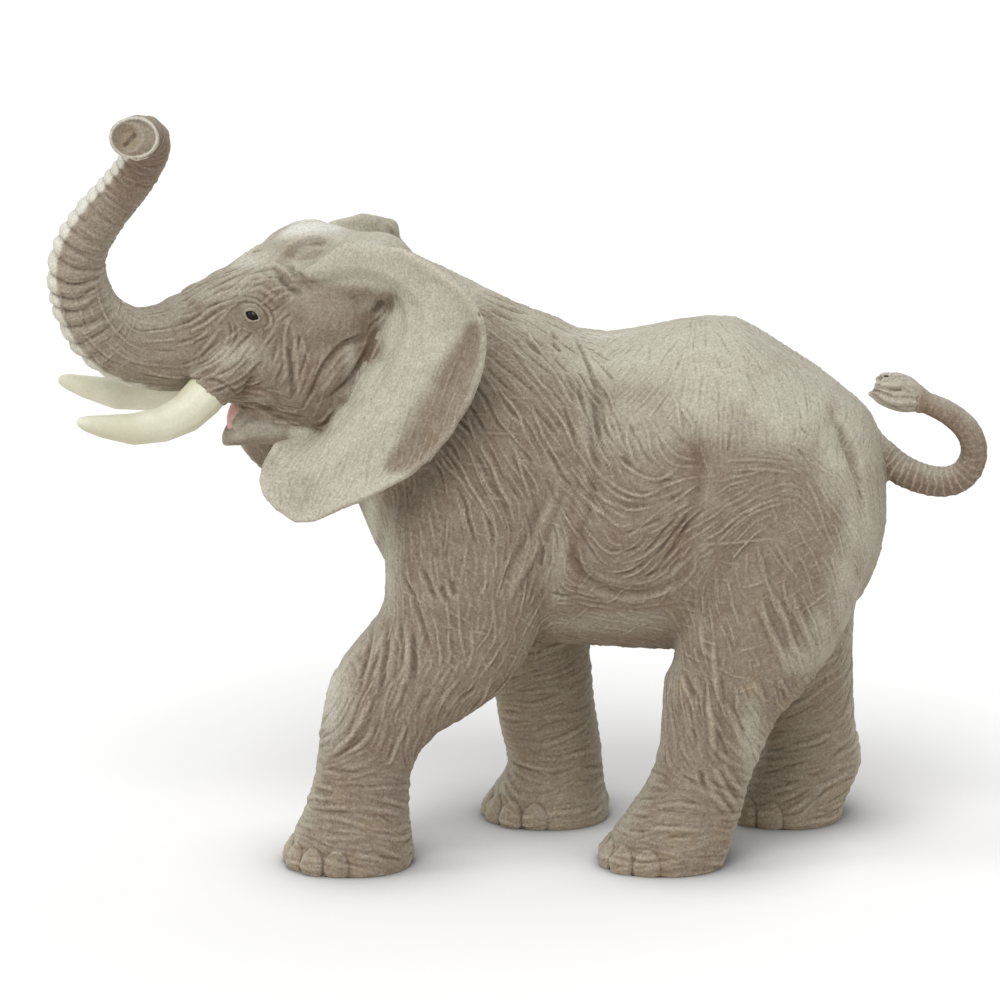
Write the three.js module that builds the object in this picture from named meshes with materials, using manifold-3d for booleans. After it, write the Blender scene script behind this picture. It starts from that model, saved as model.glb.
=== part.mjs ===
// A toy African elephant, walking with its trunk raised: moulded pieces plugged and glued together.
// Units are millimetres. The figure faces -X, its left side faces -Y, and +Z is up.
// Every table of shares is read as multiples of the sizes that the comment above it names.
import * as THREE from "three";
import { mergeVertices } from "three/addons/utils/BufferGeometryUtils.js";
import Module from "manifold-3d";

const wasm = await Module();
wasm.setup();

// Overall sizes
const bodyLength = 117; // chest to rump
const backHeight = 124; // sole to the top of the croup
const bodyWidth = 62; // across the belly
const footLength = 29.5;
const footWidth = 28;
const headLength = 49; // neck pivot to the root of the trunk
const headHeight = 53; // jaw to crown
const headWidth = 35;
const trunkReach = 26; // how far the trunk runs forward of its root
const trunkRise = 54; // how far its tip stands above its root
const trunkSwing = 22; // how far its tip turns to the left
const trunkThickness = 23; // at its root
const tailReach = 22.5; // how far the tail stands out behind the rump
const tailThickness = 7;
const tuftLength = 12;
const tuftThickness = 8;
const tuskReach = 33;
const tuskThickness = 9;
const tuskSpread = 35; // between the two tips
const earHeight = 61;
const earDepth = 48; // front lobe to back rim, seen from the side
const earFlare = 24; // how far the rim stands out past the side of the head
const earThickness = 2.4;
const eyeDiameter = 3.6;

// Moulding and joining sizes
const wall = 3.5; // of the hollow torso
const glueGap = 0.3; // left between glued pieces
const plugClearance = 0.25;
const legPlugHeight = 8;
const legPlugLength = 16;
const legPlugWidth = 11;
const neckPlugRadius = 9;
const neckPlugLength = 8;
const trunkPlugRadius = 5;
const trunkPlugLength = 7;
const jawPegRadius = 1.8;
const jawPegLength = 8;
const tailPlugRadius = 2;
const tailPlugLength = 6;
const earTabHeight = 13;
const earTabThickness = 3;
const earTabDepth = 5;
const pinRadius = 1.4;
const pinLength = 4;
const postRadius = 3.2; // of the posts that carry the pins
const rootOverlap = 2; // by which a plug or an ear starts inside what carries it
const farReach = 300; // larger than the whole figure

// Angles in degrees
const headYaw = 10;
const headRoll = 2;
const neckLean = 15;

// Counts of sections along a skin and of points round it
const torsoSections = 26;
const torsoSides = 28;
const hollowSections = 14;
const hollowSides = 16;
const legSections = 18;
const legSides = 18;
const headSections = 18;
const headSides = 24;
const trunkSections = 28;
const trunkSides = 14;
const earSections = 24;
const smallSections = 9;
const smallSides = 12;
const tailSections = 22;
const tailSides = 10;
const roundSides = 16;

const radians = THREE.MathUtils.degToRad;
const upward = new THREE.Vector3(0, 0, 1);
const leftward = new THREE.Vector3(0, -1, 0);
const rightward = new THREE.Vector3(0, 1, 0);

// Shared builders

// Turns a table of hand-set rows into as many rows as a smooth skin needs.
function smoothRows(rows, count) {
  const places = rows.map((row, index) => index);
  const track = new THREE.CubicInterpolant(places, rows.flat(), rows[0].length);
  const last = rows.length - 1;
  return Array.from({ length: count }, (unused, step) =>
    Array.from(track.evaluate((step / (count - 1)) * last)),
  );
}

// The row of a table where one column, which grows down the table, reaches a value.
function rowAt(rows, column, value) {
  const found = rows.findIndex((row) => row[column] >= value);
  const index = THREE.MathUtils.clamp(found, 1, rows.length - 1);
  const [before, after] = [rows[index - 1], rows[index]];
  const part = (value - before[column]) / (after[column] - before[column]);
  return before.map((entry, place) => THREE.MathUtils.lerp(entry, after[place], part));
}

const middleOf = (ring) =>
  ring.reduce((sum, point) => sum.add(point), new THREE.Vector3()).divideScalar(ring.length);

const moved = (ring, way, reach) => ring.map((point) => point.clone().addScaledVector(way, reach));

// An oval ring of points. Its height can differ above and below the centre.
function ovalRing({ centre, across, up, half, rise, drop = rise, fullness = 2 }, sides) {
  const bend = (value) => Math.sign(value) * Math.abs(value) ** (2 / fullness);
  return Array.from({ length: sides }, (unused, side) => {
    const angle = (2 * Math.PI * side) / sides;
    const height = Math.sin(angle) > 0 ? rise : drop;
    return centre
      .clone()
      .addScaledVector(across, half * bend(Math.cos(angle)))
      .addScaledVector(up, height * bend(Math.sin(angle)));
  });
}

// Rings square to a path, their width held close to one direction.
function ringsAlong(path, side, sides, flattening = 1) {
  return path.map(({ place, radius }, step) => {
    const before = path[Math.max(step - 1, 0)].place;
    const after = path[Math.min(step + 1, path.length - 1)].place;
    const ahead = after.clone().sub(before).normalize();
    const across = side.clone().addScaledVector(ahead, -side.dot(ahead)).normalize();
    const up = ahead.clone().cross(across);
    return ovalRing({ centre: place, across, up, half: radius * flattening, rise: radius }, sides);
  });
}

// Moves the first and last ring outwards along the run of the skin.
function stretchEnds(rings, reach) {
  const shift = (ring, neighbour) =>
    moved(ring, middleOf(ring).sub(middleOf(neighbour)).normalize(), reach);
  const last = rings.length - 1;
  return [shift(rings[0], rings[1]), ...rings.slice(1, last), shift(rings[last], rings[last - 1])];
}

// A closed skin through rings with equally many points, with a fan over each end.
function skinThrough(rings) {
  const sides = rings[0].length;
  const last = rings.length - 1;
  const points = rings.flat();
  const faces = [];
  for (let ring = 0; ring < last; ring++) {
    for (let side = 0; side < sides; side++) {
      const here = ring * sides + side;
      const beside = ring * sides + ((side + 1) % sides);
      faces.push(here, beside, beside + sides, here, beside + sides, here + sides);
    }
  }
  for (const end of [0, last]) {
    const middle = points.length;
    points.push(middleOf(rings[end]));
    for (let side = 0; side < sides; side++) {
      const here = end * sides + side;
      const beside = end * sides + ((side + 1) % sides);
      faces.push(middle, end ? here : beside, end ? beside : here);
    }
  }
  const geometry = new THREE.BufferGeometry().setFromPoints(points);
  geometry.setIndex(faces);
  return solidOf(geometry);
}

function solidOf(geometry) {
  const bare = geometry.clone();
  bare.deleteAttribute("normal");
  bare.deleteAttribute("uv");
  const merged = mergeVertices(bare);
  const make = (triVerts) =>
    new wasm.Manifold(
      new wasm.Mesh({ numProp: 3, vertProperties: merged.attributes.position.array, triVerts }),
    );
  const made = make(new Uint32Array(merged.index.array));
  return made.volume() > 0 ? made : make(new Uint32Array(merged.index.array).reverse());
}

function geometryOf(solid) {
  const mesh = solid.getMesh();
  const geometry = new THREE.BufferGeometry();
  geometry.setAttribute("position", new THREE.BufferAttribute(mesh.vertProperties.slice(), 3));
  geometry.setIndex(new THREE.BufferAttribute(mesh.triVerts.slice(), 1));
  return geometry;
}

const join = (first, ...others) => others.reduce((whole, solid) => whole.add(solid), first);
const cut = (first, ...tools) => tools.reduce((rest, tool) => rest.subtract(tool), first);

// The largest body of a cut solid, without the slivers that a cut can leave.
const largestOf = (solid) =>
  solid.decompose().reduce((best, piece) => (piece.volume() > best.volume() ? piece : best));

// A straight bar from a point along a direction, round or oval.
function bar({ from, along, length, radius, otherRadius = radius, side = upward }) {
  const way = along.clone().normalize();
  const across = side.clone().addScaledVector(way, -side.dot(way)).normalize();
  const up = way.clone().cross(across);
  const start = ovalRing({ centre: from, across, up, half: radius, rise: otherRadius }, roundSides);
  return skinThrough([start, moved(start, way, length)]);
}

// A peg that starts inside the piece that carries it, or with a clearance the socket for it.
function peg({ from, along, length, radius, otherRadius = radius, side = upward, clearance = 0 }) {
  const way = along.clone().normalize();
  return bar({
    from: from.clone().addScaledVector(way, -rootOverlap),
    along: way,
    length: rootOverlap + length + clearance,
    radius: radius + clearance,
    otherRadius: otherRadius + clearance,
    side,
  });
}

// Everything on the side of a plane that its normal points to, past half a glue line.
function beyond(point, normal) {
  const block = new THREE.BoxGeometry(farReach, farReach, farReach);
  block.translate(0, 0, farReach / 2 + glueGap / 2);
  block.applyQuaternion(new THREE.Quaternion().setFromUnitVectors(upward, normal.clone().normalize()));
  block.translate(point.x, point.y, point.z);
  return solidOf(block);
}

// Torso and neck

// Along the body, height of the middle, rise and drop from it, half width, shift to the right and
// lean in degrees. They follow bodyLength, backHeight three times, and bodyWidth twice.
const torsoShares = [
  [1.0, 0.64, 0.02, 0.03, 0.05, 0, 0],
  [0.99, 0.652, 0.115, 0.087, 0.16, 0, 0],
  [0.967, 0.664, 0.157, 0.165, 0.26, 0, 0],
  [0.922, 0.677, 0.182, 0.235, 0.355, 0, 0],
  [0.863, 0.687, 0.213, 0.28, 0.415, 0, 0],
  [0.784, 0.691, 0.259, 0.305, 0.46, 0, 0],
  [0.706, 0.691, 0.302, 0.306, 0.482, 0, 0],
  [0.617, 0.681, 0.313, 0.303, 0.488, 0, 0],
  [0.529, 0.675, 0.302, 0.296, 0.496, 0, 0],
  [0.45, 0.677, 0.288, 0.292, 0.5, 0, 0],
  [0.372, 0.69, 0.286, 0.3, 0.478, 0, 4],
  [0.307, 0.7, 0.298, 0.304, 0.446, 0, 8],
  [0.195, 0.73, 0.302, 0.306, 0.4, 0, 16],
  [0.106, 0.81, 0.268, 0.268, 0.335, -0.01, 20],
  [0.037, 0.886, 0.232, 0.225, 0.275, -0.03, 19],
  [-0.028, 0.94, 0.21, 0.208, 0.245, -0.06, 15],
];
const torsoFullness = 2.15;

// The body's skin, or with an inset the hollow inside it.
function torsoSkin(inset, sections = torsoSections, sides = torsoSides) {
  const shorten = 1 - (2 * inset) / bodyLength;
  const rings = smoothRows(torsoShares, sections).map(
    ([along, middle, rise, drop, half, shift, lean]) =>
      ovalRing(
        {
          centre: new THREE.Vector3(
            (along * shorten + (1 - shorten) / 2) * bodyLength,
            shift * bodyWidth,
            middle * backHeight,
          ),
          across: leftward,
          up: new THREE.Vector3(Math.sin(radians(lean)), 0, Math.cos(radians(lean))),
          half: Math.max(half * bodyWidth - inset, glueGap),
          rise: Math.max(rise * backHeight - inset, glueGap),
          drop: Math.max(drop * backHeight - inset, glueGap),
          fullness: torsoFullness,
        },
        sides,
      ),
  );
  return skinThrough(rings);
}

// Legs, from the sole up

// Along the body, height, distance from the middle plane, half length, half width and lean in degrees.
// They follow bodyLength, backHeight, bodyWidth, footLength and footWidth.
const legShares = {
  front_left_leg: [
    [-0.053, 0, 0.297, 0.49, 0.48, 0],
    [-0.053, 0.023, 0.297, 0.505, 0.5, 0],
    [-0.043, 0.068, 0.296, 0.437, 0.44, 0],
    [-0.031, 0.13, 0.294, 0.374, 0.38, 5],
    [-0.02, 0.197, 0.292, 0.366, 0.37, 10],
    [0.004, 0.277, 0.29, 0.43, 0.4, 20],
    [0.055, 0.333, 0.285, 0.53, 0.43, 24],
    [0.116, 0.385, 0.275, 0.585, 0.46, 22],
    [0.161, 0.445, 0.265, 0.59, 0.48, 16],
    [0.179, 0.52, 0.255, 0.63, 0.5, 9],
    [0.189, 0.594, 0.245, 0.67, 0.5, 6],
    [0.2, 0.69, 0.22, 0.66, 0.46, 2],
    [0.214, 0.807, 0.18, 0.58, 0.38, 0],
    [0.228, 0.905, 0.12, 0.39, 0.24, 0],
  ],
  front_right_leg: [
    [0.336, 0, 0.297, 0.49, 0.48, 0],
    [0.336, 0.023, 0.297, 0.5, 0.5, 0],
    [0.342, 0.054, 0.296, 0.437, 0.44, 0],
    [0.354, 0.09, 0.294, 0.37, 0.38, 0],
    [0.352, 0.13, 0.292, 0.374, 0.37, 0],
    [0.338, 0.19, 0.288, 0.382, 0.39, 0],
    [0.332, 0.24, 0.284, 0.38, 0.41, -4],
    [0.32, 0.3, 0.278, 0.41, 0.43, -9],
    [0.3, 0.36, 0.27, 0.46, 0.46, -12],
    [0.272, 0.43, 0.262, 0.53, 0.49, -13],
    [0.24, 0.51, 0.255, 0.6, 0.5, -8],
    [0.214, 0.606, 0.245, 0.66, 0.5, -2],
    [0.21, 0.71, 0.22, 0.65, 0.46, 0],
    [0.216, 0.81, 0.18, 0.58, 0.38, 0],
    [0.228, 0.905, 0.12, 0.39, 0.24, 0],
  ],
  rear_left_leg: [
    [0.562, 0, 0.297, 0.49, 0.47, 0],
    [0.566, 0.023, 0.297, 0.5, 0.485, 0],
    [0.586, 0.056, 0.295, 0.452, 0.44, 5],
    [0.621, 0.116, 0.292, 0.39, 0.37, 12],
    [0.643, 0.178, 0.29, 0.366, 0.36, 10],
    [0.66, 0.236, 0.288, 0.4, 0.38, 12],
    [0.676, 0.308, 0.28, 0.452, 0.43, 18],
    [0.72, 0.373, 0.265, 0.53, 0.49, 14],
    [0.747, 0.449, 0.25, 0.66, 0.54, 8],
    [0.77, 0.536, 0.235, 0.72, 0.57, 3],
    [0.784, 0.633, 0.225, 0.765, 0.57, 0],
    [0.774, 0.73, 0.2, 0.74, 0.53, 0],
    [0.745, 0.826, 0.17, 0.64, 0.44, 0],
    [0.706, 0.91, 0.12, 0.41, 0.28, 0],
  ],
  rear_right_leg: [
    [0.814, 0, 0.297, 0.45, 0.47, 0],
    [0.814, 0.023, 0.297, 0.465, 0.485, 0],
    [0.826, 0.048, 0.296, 0.45, 0.44, 0],
    [0.85, 0.083, 0.294, 0.43, 0.39, 0],
    [0.862, 0.12, 0.292, 0.41, 0.36, 0],
    [0.863, 0.15, 0.29, 0.37, 0.36, 0],
    [0.857, 0.21, 0.286, 0.36, 0.38, -3],
    [0.845, 0.285, 0.278, 0.4, 0.43, -6],
    [0.826, 0.36, 0.265, 0.47, 0.49, -8],
    [0.806, 0.44, 0.25, 0.6, 0.54, -6],
    [0.794, 0.535, 0.235, 0.7, 0.57, -3],
    [0.786, 0.633, 0.225, 0.755, 0.57, 0],
    [0.774, 0.73, 0.2, 0.74, 0.53, 0],
    [0.745, 0.826, 0.17, 0.64, 0.44, 0],
    [0.706, 0.91, 0.12, 0.41, 0.28, 0],
  ],
};
const legNames = Object.keys(legShares);
const legFullness = 2.2;
const legSeamShare = 0.372; // of backHeight: just under the belly
const legSeam = new THREE.Vector3(0, 0, legSeamShare * backHeight);

const legSide = (name) => (name.includes("left") ? -1 : 1);

function legSkin(name) {
  const side = legSide(name);
  const rings = smoothRows(legShares[name], legSections).map(([along, height, out, long, wide, lean]) =>
    ovalRing(
      {
        centre: new THREE.Vector3(along * bodyLength, side * out * bodyWidth, height * backHeight),
        across: new THREE.Vector3(Math.cos(radians(lean)), 0, -Math.sin(radians(lean))),
        up: new THREE.Vector3(0, side, 0),
        half: long * footLength,
        rise: wide * footWidth,
        fullness: legFullness,
      },
      legSides,
    ),
  );
  return skinThrough(rings);
}

// The plug on top of a leg, or with a clearance the socket for it.
function legPlug(name, clearance) {
  const [along, , out] = rowAt(smoothRows(legShares[name], legSections), 1, legSeamShare);
  return peg({
    from: new THREE.Vector3(along * bodyLength, legSide(name) * out * bodyWidth, legSeam.z),
    along: upward,
    length: legPlugHeight,
    radius: legPlugLength / 2,
    otherRadius: legPlugWidth / 2,
    side: new THREE.Vector3(1, 0, 0),
    clearance,
  });
}

function makeLeg(name) {
  const ownSide = beyond(new THREE.Vector3(), new THREE.Vector3(0, legSide(name), 0));
  const leg = legSkin(name).intersect(beyond(legSeam, upward.clone().negate()));
  return join(leg, legPlug(name, 0)).intersect(ownSide);
}

// Head

// The head is drawn about its pivot, facing -X, and then turned and tilted into place.
const pivotAlongShare = 0.047; // of bodyLength
const pivotHeightShare = 0.935; // of backHeight
const pivot = new THREE.Vector3(pivotAlongShare * bodyLength, 0, pivotHeightShare * backHeight);
const headTurn = new THREE.Matrix4()
  .makeTranslation(pivot.x, pivot.y, pivot.z)
  .multiply(new THREE.Matrix4().makeRotationZ(radians(headYaw)))
  .multiply(new THREE.Matrix4().makeRotationX(radians(headRoll)));

// A place on the head: forward of the pivot, to the left of it and above it.
const onHead = (forward, left, above) =>
  new THREE.Vector3(-forward, -left, above).applyMatrix4(headTurn);
const headForward = new THREE.Vector3(-1, 0, 0).transformDirection(headTurn);
const headLeft = leftward.clone().transformDirection(headTurn);
const headUp = upward.clone().transformDirection(headTurn);
const headOut = (side) => headLeft.clone().multiplyScalar(side);

// Forward, top, bottom and half width. They follow headLength, headHeight twice, and headWidth.
const skullShares = [
  [-0.14, 0.4, -0.33, 0.38],
  [0.0, 0.46, -0.366, 0.43],
  [0.12, 0.508, -0.396, 0.466],
  [0.263, 0.562, -0.408, 0.495],
  [0.406, 0.588, -0.375, 0.5],
  [0.524, 0.56, -0.3, 0.478],
  [0.643, 0.492, -0.225, 0.425],
  [0.763, 0.424, -0.19, 0.362],
  [0.882, 0.362, -0.158, 0.305],
  [1.0, 0.302, -0.128, 0.275],
];
const skullFullness = 2.25;

// A skin from a table like the skull's, with room added all round it where it makes a socket.
function headSkin(rows, { sections, sides, fullness, room = 0 }) {
  const rings = smoothRows(rows, sections).map(([forward, top, bottom, half]) =>
    ovalRing(
      {
        centre: onHead(forward * headLength, 0, ((top + bottom) / 2) * headHeight),
        across: headLeft,
        up: headUp,
        half: half * headWidth + room,
        rise: ((top - bottom) / 2) * headHeight + room,
        fullness,
      },
      sides,
    ),
  );
  return skinThrough(stretchEnds(rings, room));
}

const skullSkin = (room) =>
  headSkin(skullShares, { sections: headSections, sides: headSides, fullness: skullFullness, room });

// How far the side of the skull stands out at a place seen from the side.
function skullSideAt(forward, above) {
  const rows = smoothRows(skullShares, headSections);
  const [, top, bottom, half] = rowAt(rows, 0, forward / headLength);
  const height = (above / headHeight - (top + bottom) / 2) / ((top - bottom) / 2);
  const rest = Math.max(1 - Math.abs(height) ** skullFullness, 0);
  return half * headWidth * rest ** (1 / skullFullness);
}

// Trunk

// Forward of the root, to the left, above it and radius.
// They follow trunkReach, trunkSwing, trunkRise and trunkThickness.
const trunkShares = [
  [-0.22, 0, 0.01, 0.47],
  [0, 0, 0, 0.49],
  [0.2, 0.02, -0.018, 0.44],
  [0.51, 0.065, 0, 0.385],
  [0.72, 0.11, 0.063, 0.352],
  [0.896, 0.174, 0.178, 0.314],
  [0.99, 0.24, 0.34, 0.284],
  [0.96, 0.304, 0.467, 0.264],
  [0.8, 0.37, 0.605, 0.244],
  [0.62, 0.435, 0.715, 0.23],
  [0.48, 0.52, 0.82, 0.22],
  [0.4, 0.65, 0.925, 0.214],
  [0.45, 0.826, 0.985, 0.212],
  [0.56, 1.0, 1.0, 0.222],
];
const trunkRootHeightShare = 0.088; // of headHeight, above the pivot
const trunkFlatteningShare = 0.9; // the trunk's width, of its height
// The dished end of the trunk: size and depth of its inner rings, of the radius there.
const nostrilShares = [
  [0.72, 0],
  [0.5, 0.35],
];

const trunkRoot = onHead(headLength, 0, trunkRootHeightShare * headHeight);
const trunkPath = smoothRows(trunkShares, trunkSections).map(([forward, left, above, radius]) => ({
  place: trunkRoot
    .clone()
    .addScaledVector(headForward, forward * trunkReach)
    .addScaledVector(headLeft, left * trunkSwing)
    .addScaledVector(headUp, above * trunkRise),
  radius: radius * trunkThickness,
}));

function trunkSkin() {
  const rings = ringsAlong(trunkPath, headLeft, trunkSides, trunkFlatteningShare);
  const tip = trunkPath.at(-1);
  const ahead = tip.place.clone().sub(trunkPath.at(-2).place).normalize();
  const endRing = rings.at(-1);
  const dish = nostrilShares.map(([size, depth]) =>
    moved(
      endRing.map((point) => tip.place.clone().lerp(point, size)),
      ahead,
      -depth * tip.radius,
    ),
  );
  return skinThrough([...rings, ...dish]);
}

const trunkPlug = (clearance) =>
  peg({
    from: trunkRoot,
    along: headForward.clone().negate(),
    length: trunkPlugLength,
    radius: trunkPlugRadius,
    clearance,
  });

function makeTrunk() {
  const trunk = trunkSkin().intersect(beyond(trunkRoot, headForward));
  return cut(join(trunk, trunkPlug(0)), sheathSkin(1, glueGap), sheathSkin(-1, glueGap));
}

// Tusks and the fleshy sheaths that they grow from

// Forward and above the root, out to the side, and radius.
// They follow tuskReach twice, half of tuskSpread, and tuskThickness.
const tuskShares = [
  [-0.14, 0.17, 0.5, 0.4],
  [-0.02, 0.05, 0.56, 0.47],
  [0.07, -0.04, 0.59, 0.48],
  [0.2, -0.14, 0.65, 0.44],
  [0.38, -0.2, 0.74, 0.38],
  [0.6, -0.21, 0.83, 0.33],
  [0.82, -0.165, 0.93, 0.22],
  [0.95, -0.13, 0.985, 0.13],
  [1.0, -0.115, 1.0, 0.06],
];
const sheathShares = [
  [-0.4, 0.36, 0.28, 0.42],
  [-0.24, 0.25, 0.42, 0.55],
  [-0.1, 0.13, 0.53, 0.63],
  [0.03, 0.0, 0.575, 0.6],
];
const tuskRootForwardShare = 0.92; // of headLength
const tuskRootHeightShare = -0.08; // of headHeight

function tuskLikeSkin(rows, side, room) {
  const path = smoothRows(rows, smallSections).map(([forward, above, out, radius]) => ({
    place: onHead(
      tuskRootForwardShare * headLength + forward * tuskReach,
      (side * out * tuskSpread) / 2,
      tuskRootHeightShare * headHeight + above * tuskReach,
    ),
    radius: radius * tuskThickness + room,
  }));
  return skinThrough(stretchEnds(ringsAlong(path, headLeft, smallSides), room));
}

const tuskSkin = (side, room) => tuskLikeSkin(tuskShares, side, room);
const sheathSkin = (side, room) => tuskLikeSkin(sheathShares, side, room);

// Lower jaw and tongue

// Forward, top, bottom and half width. They follow headLength, headHeight twice, and headWidth.
const jawShares = [
  [0.4, -0.26, -0.375, 0.24],
  [0.52, -0.22, -0.38, 0.25],
  [0.64, -0.19, -0.38, 0.22],
  [0.73, -0.21, -0.38, 0.18],
  [0.79, -0.27, -0.385, 0.13],
  [0.83, -0.34, -0.385, 0.06],
];
const tongueShares = [
  [0.5, -0.2, -0.27, 0.1],
  [0.62, -0.16, -0.28, 0.14],
  [0.72, -0.16, -0.3, 0.14],
  [0.78, -0.19, -0.32, 0.11],
  [0.81, -0.25, -0.32, 0.05],
];
const jawFullness = 2.4;
const jawPegForwardShare = 0.5; // of headLength
const jawPegHeightShare = -0.33; // of headHeight

const wedgeSkin = (rows, room) =>
  headSkin(rows, { sections: smallSections, sides: smallSides, fullness: jawFullness, room });

const jawPeg = (clearance) =>
  peg({
    from: onHead(jawPegForwardShare * headLength, 0, jawPegHeightShare * headHeight),
    along: headUp,
    length: jawPegLength,
    radius: jawPegRadius,
    side: headForward,
    clearance,
  });

function makeJaw() {
  const jaw = cut(wedgeSkin(jawShares, 0), skullSkin(glueGap), wedgeSkin(tongueShares, glueGap));
  return join(largestOf(jaw), jawPeg(0));
}

const makeTongue = () => largestOf(cut(wedgeSkin(tongueShares, 0), skullSkin(glueGap)));

// Ears

// The root line on the side of the head, from the front of its top round the back to the front lobe.
// Forward and above the pivot, following earDepth and earHeight.
const earRootShares = [
  [0.537, 0.4],
  [0.327, 0.38],
  [0.102, 0.345],
  [0.038, 0.25],
  [0.077, 0.1],
  [0.185, -0.067],
  [0.323, -0.236],
  [0.46, -0.27],
];
// The top of each ear's rim in the same order, with how far it stands out from the side of the head,
// of earFlare. The right ear is held lower and further back.
const earCrestShares = {
  left: [
    [0.542, 0.451, -0.1],
    [0.312, 0.546, 0.06],
    [0.088, 0.513, 0.27],
    [-0.083, 0.446, 0.52],
    [-0.212, 0.354, 0.73],
    [-0.269, 0.221, 0.85],
  ],
  right: [
    [0.52, 0.415, -0.08],
    [0.28, 0.44, 0.08],
    [0.06, 0.435, 0.26],
    [-0.05, 0.35, 0.46],
    [-0.13, 0.26, 0.7],
    [-0.21, 0.16, 0.84],
  ],
};
// The rest of the rim, alike on both.
const earLobeShares = [
  [-0.223, 0.033, 0.94],
  [-0.056, -0.189, 0.94],
  [0.135, -0.323, 0.85],
  [0.394, -0.428, 0.69],
  [0.577, -0.508, 0.56],
  [0.731, -0.426, 0.4],
  [0.756, -0.349, 0.23],
  [0.646, -0.254, -0.02],
];
// How far the ear is bowed forward and out at each step from root to rim, of the span there,
// and how thick it is, of earThickness.
const earBowShares = [0, 0.12, 0.17, 0.14, 0.06, 0, -0.02];
const earThicknessShares = [1.2, 1.15, 1, 1, 0.9, 0.8, 0.55];
const earSteps = earBowShares.length;

function earMiddle(side) {
  const crest = earCrestShares[side > 0 ? "left" : "right"];
  const rimRows = smoothRows([...crest, ...earLobeShares], earSections);
  const bowWay = headForward.clone().add(headOut(side)).normalize();
  return smoothRows(earRootShares, earSections).map(([rootForward, rootAbove], section) => {
    const [rimForward, rimAbove, rimOut] = rimRows[section];
    const [forward, above] = [rootForward * earDepth, rootAbove * earHeight];
    const root = onHead(forward, side * (skullSideAt(forward, above) - rootOverlap), above);
    const rim = onHead(
      rimForward * earDepth,
      side * (headWidth / 2 + rimOut * earFlare),
      rimAbove * earHeight,
    );
    const span = root.distanceTo(rim);
    return earBowShares.map((bow, step) =>
      root
        .clone()
        .lerp(rim, step / (earSteps - 1))
        .addScaledVector(bowWay, bow * span),
    );
  });
}

function earSkin(side) {
  const middle = earMiddle(side);
  const near = (list, index) => list[THREE.MathUtils.clamp(index, 0, list.length - 1)];
  const facing = (section, step) => {
    const along = near(middle, section + 1)[step].clone().sub(near(middle, section - 1)[step]);
    const outward = near(middle[section], step + 1).clone().sub(near(middle[section], step - 1));
    return along.cross(outward).normalize();
  };
  const rings = middle.map((row, section) => {
    const face = (way) =>
      row.map((point, step) =>
        point
          .clone()
          .addScaledVector(facing(section, step), (way * earThicknessShares[step] * earThickness) / 2),
      );
    return [...face(1), ...face(-1).reverse()];
  });
  return skinThrough(rings);
}

const earTabForwardShare = 0.085; // of earDepth
const earTabHeightShare = 0.24; // of earHeight

// The tab on the root of an ear, or with a clearance the slot for it in the head.
function earTab(side, clearance) {
  const [forward, above] = [earTabForwardShare * earDepth, earTabHeightShare * earHeight];
  return peg({
    from: onHead(forward, side * skullSideAt(forward, above), above),
    along: headOut(-side),
    length: earTabDepth,
    radius: earTabHeight / 2,
    otherRadius: earTabThickness / 2,
    clearance,
  });
}

function makeEar(side) {
  const neighbours = [skullSkin(glueGap), torsoSkin(-glueGap), wedgeSkin(jawShares, glueGap)];
  return largestOf(join(cut(earSkin(side), ...neighbours), earTab(side, 0)));
}

// Eyes

const eyeForwardShare = 0.741; // of headLength
const eyeHeightShare = 0.26; // of headHeight
const eyeSinkShare = 0.2; // of eyeDiameter, below the skin

function eyeBall(side, room) {
  const [forward, above] = [eyeForwardShare * headLength, eyeHeightShare * headHeight];
  const out = skullSideAt(forward, above) - eyeSinkShare * eyeDiameter;
  const place = onHead(forward, side * out, above);
  const ball = new THREE.SphereGeometry(eyeDiameter / 2 + room, roundSides, roundSides / 2);
  ball.translate(place.x, place.y, place.z);
  return solidOf(ball);
}

// Tail

// Behind the root, above it, to the left and radius. They follow tailReach twice, and tailThickness twice.
const tailShares = [
  [-0.42, 0.38, 0, 0.9],
  [-0.14, 0.22, 0, 0.7],
  [0.04, 0.12, 0, 0.54],
  [0.235, -0.03, 0.1, 0.5],
  [0.49, -0.125, 0.25, 0.48],
  [0.715, -0.13, 0.4, 0.48],
  [0.89, -0.03, 0.5, 0.46],
  [0.975, 0.18, 0.55, 0.43],
  [0.92, 0.4, 0.6, 0.41],
  [0.77, 0.56, 0.6, 0.385],
  [0.595, 0.665, 0.6, 0.355],
  [0.42, 0.735, 0.6, 0.33],
];
// Onwards from the tail's end, and radius. They follow tuftLength and tuftThickness.
const tuftShares = [
  [-0.1, 0.3],
  [0.1, 0.42],
  [0.4, 0.5],
  [0.7, 0.46],
  [0.92, 0.34],
  [1.0, 0.15],
];
const tailRootAlongShare = 0.985; // of bodyLength
const tailRootHeightShare = 0.718; // of backHeight
const tailSeamShare = 0.2; // of the tail's sections, from its root

const tailPath = smoothRows(tailShares, tailSections).map(([back, above, left, radius]) => ({
  place: new THREE.Vector3(
    tailRootAlongShare * bodyLength + back * tailReach,
    -left * tailThickness,
    tailRootHeightShare * backHeight + above * tailReach,
  ),
  radius: radius * tailThickness,
}));
const tailSeamIndex = Math.round(tailSeamShare * tailSections);
const tailSeam = tailPath[tailSeamIndex].place;
const tailBackward = tailPath[tailSeamIndex + 1].place.clone().sub(tailSeam).normalize();
const tailRings = ringsAlong(tailPath, leftward, tailSides);

// The stump on the rump that the tail is plugged into.
function tailStump() {
  const seam = moved(tailRings[tailSeamIndex], tailBackward, -glueGap / 2);
  return skinThrough([...tailRings.slice(0, tailSeamIndex), seam]);
}

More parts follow.
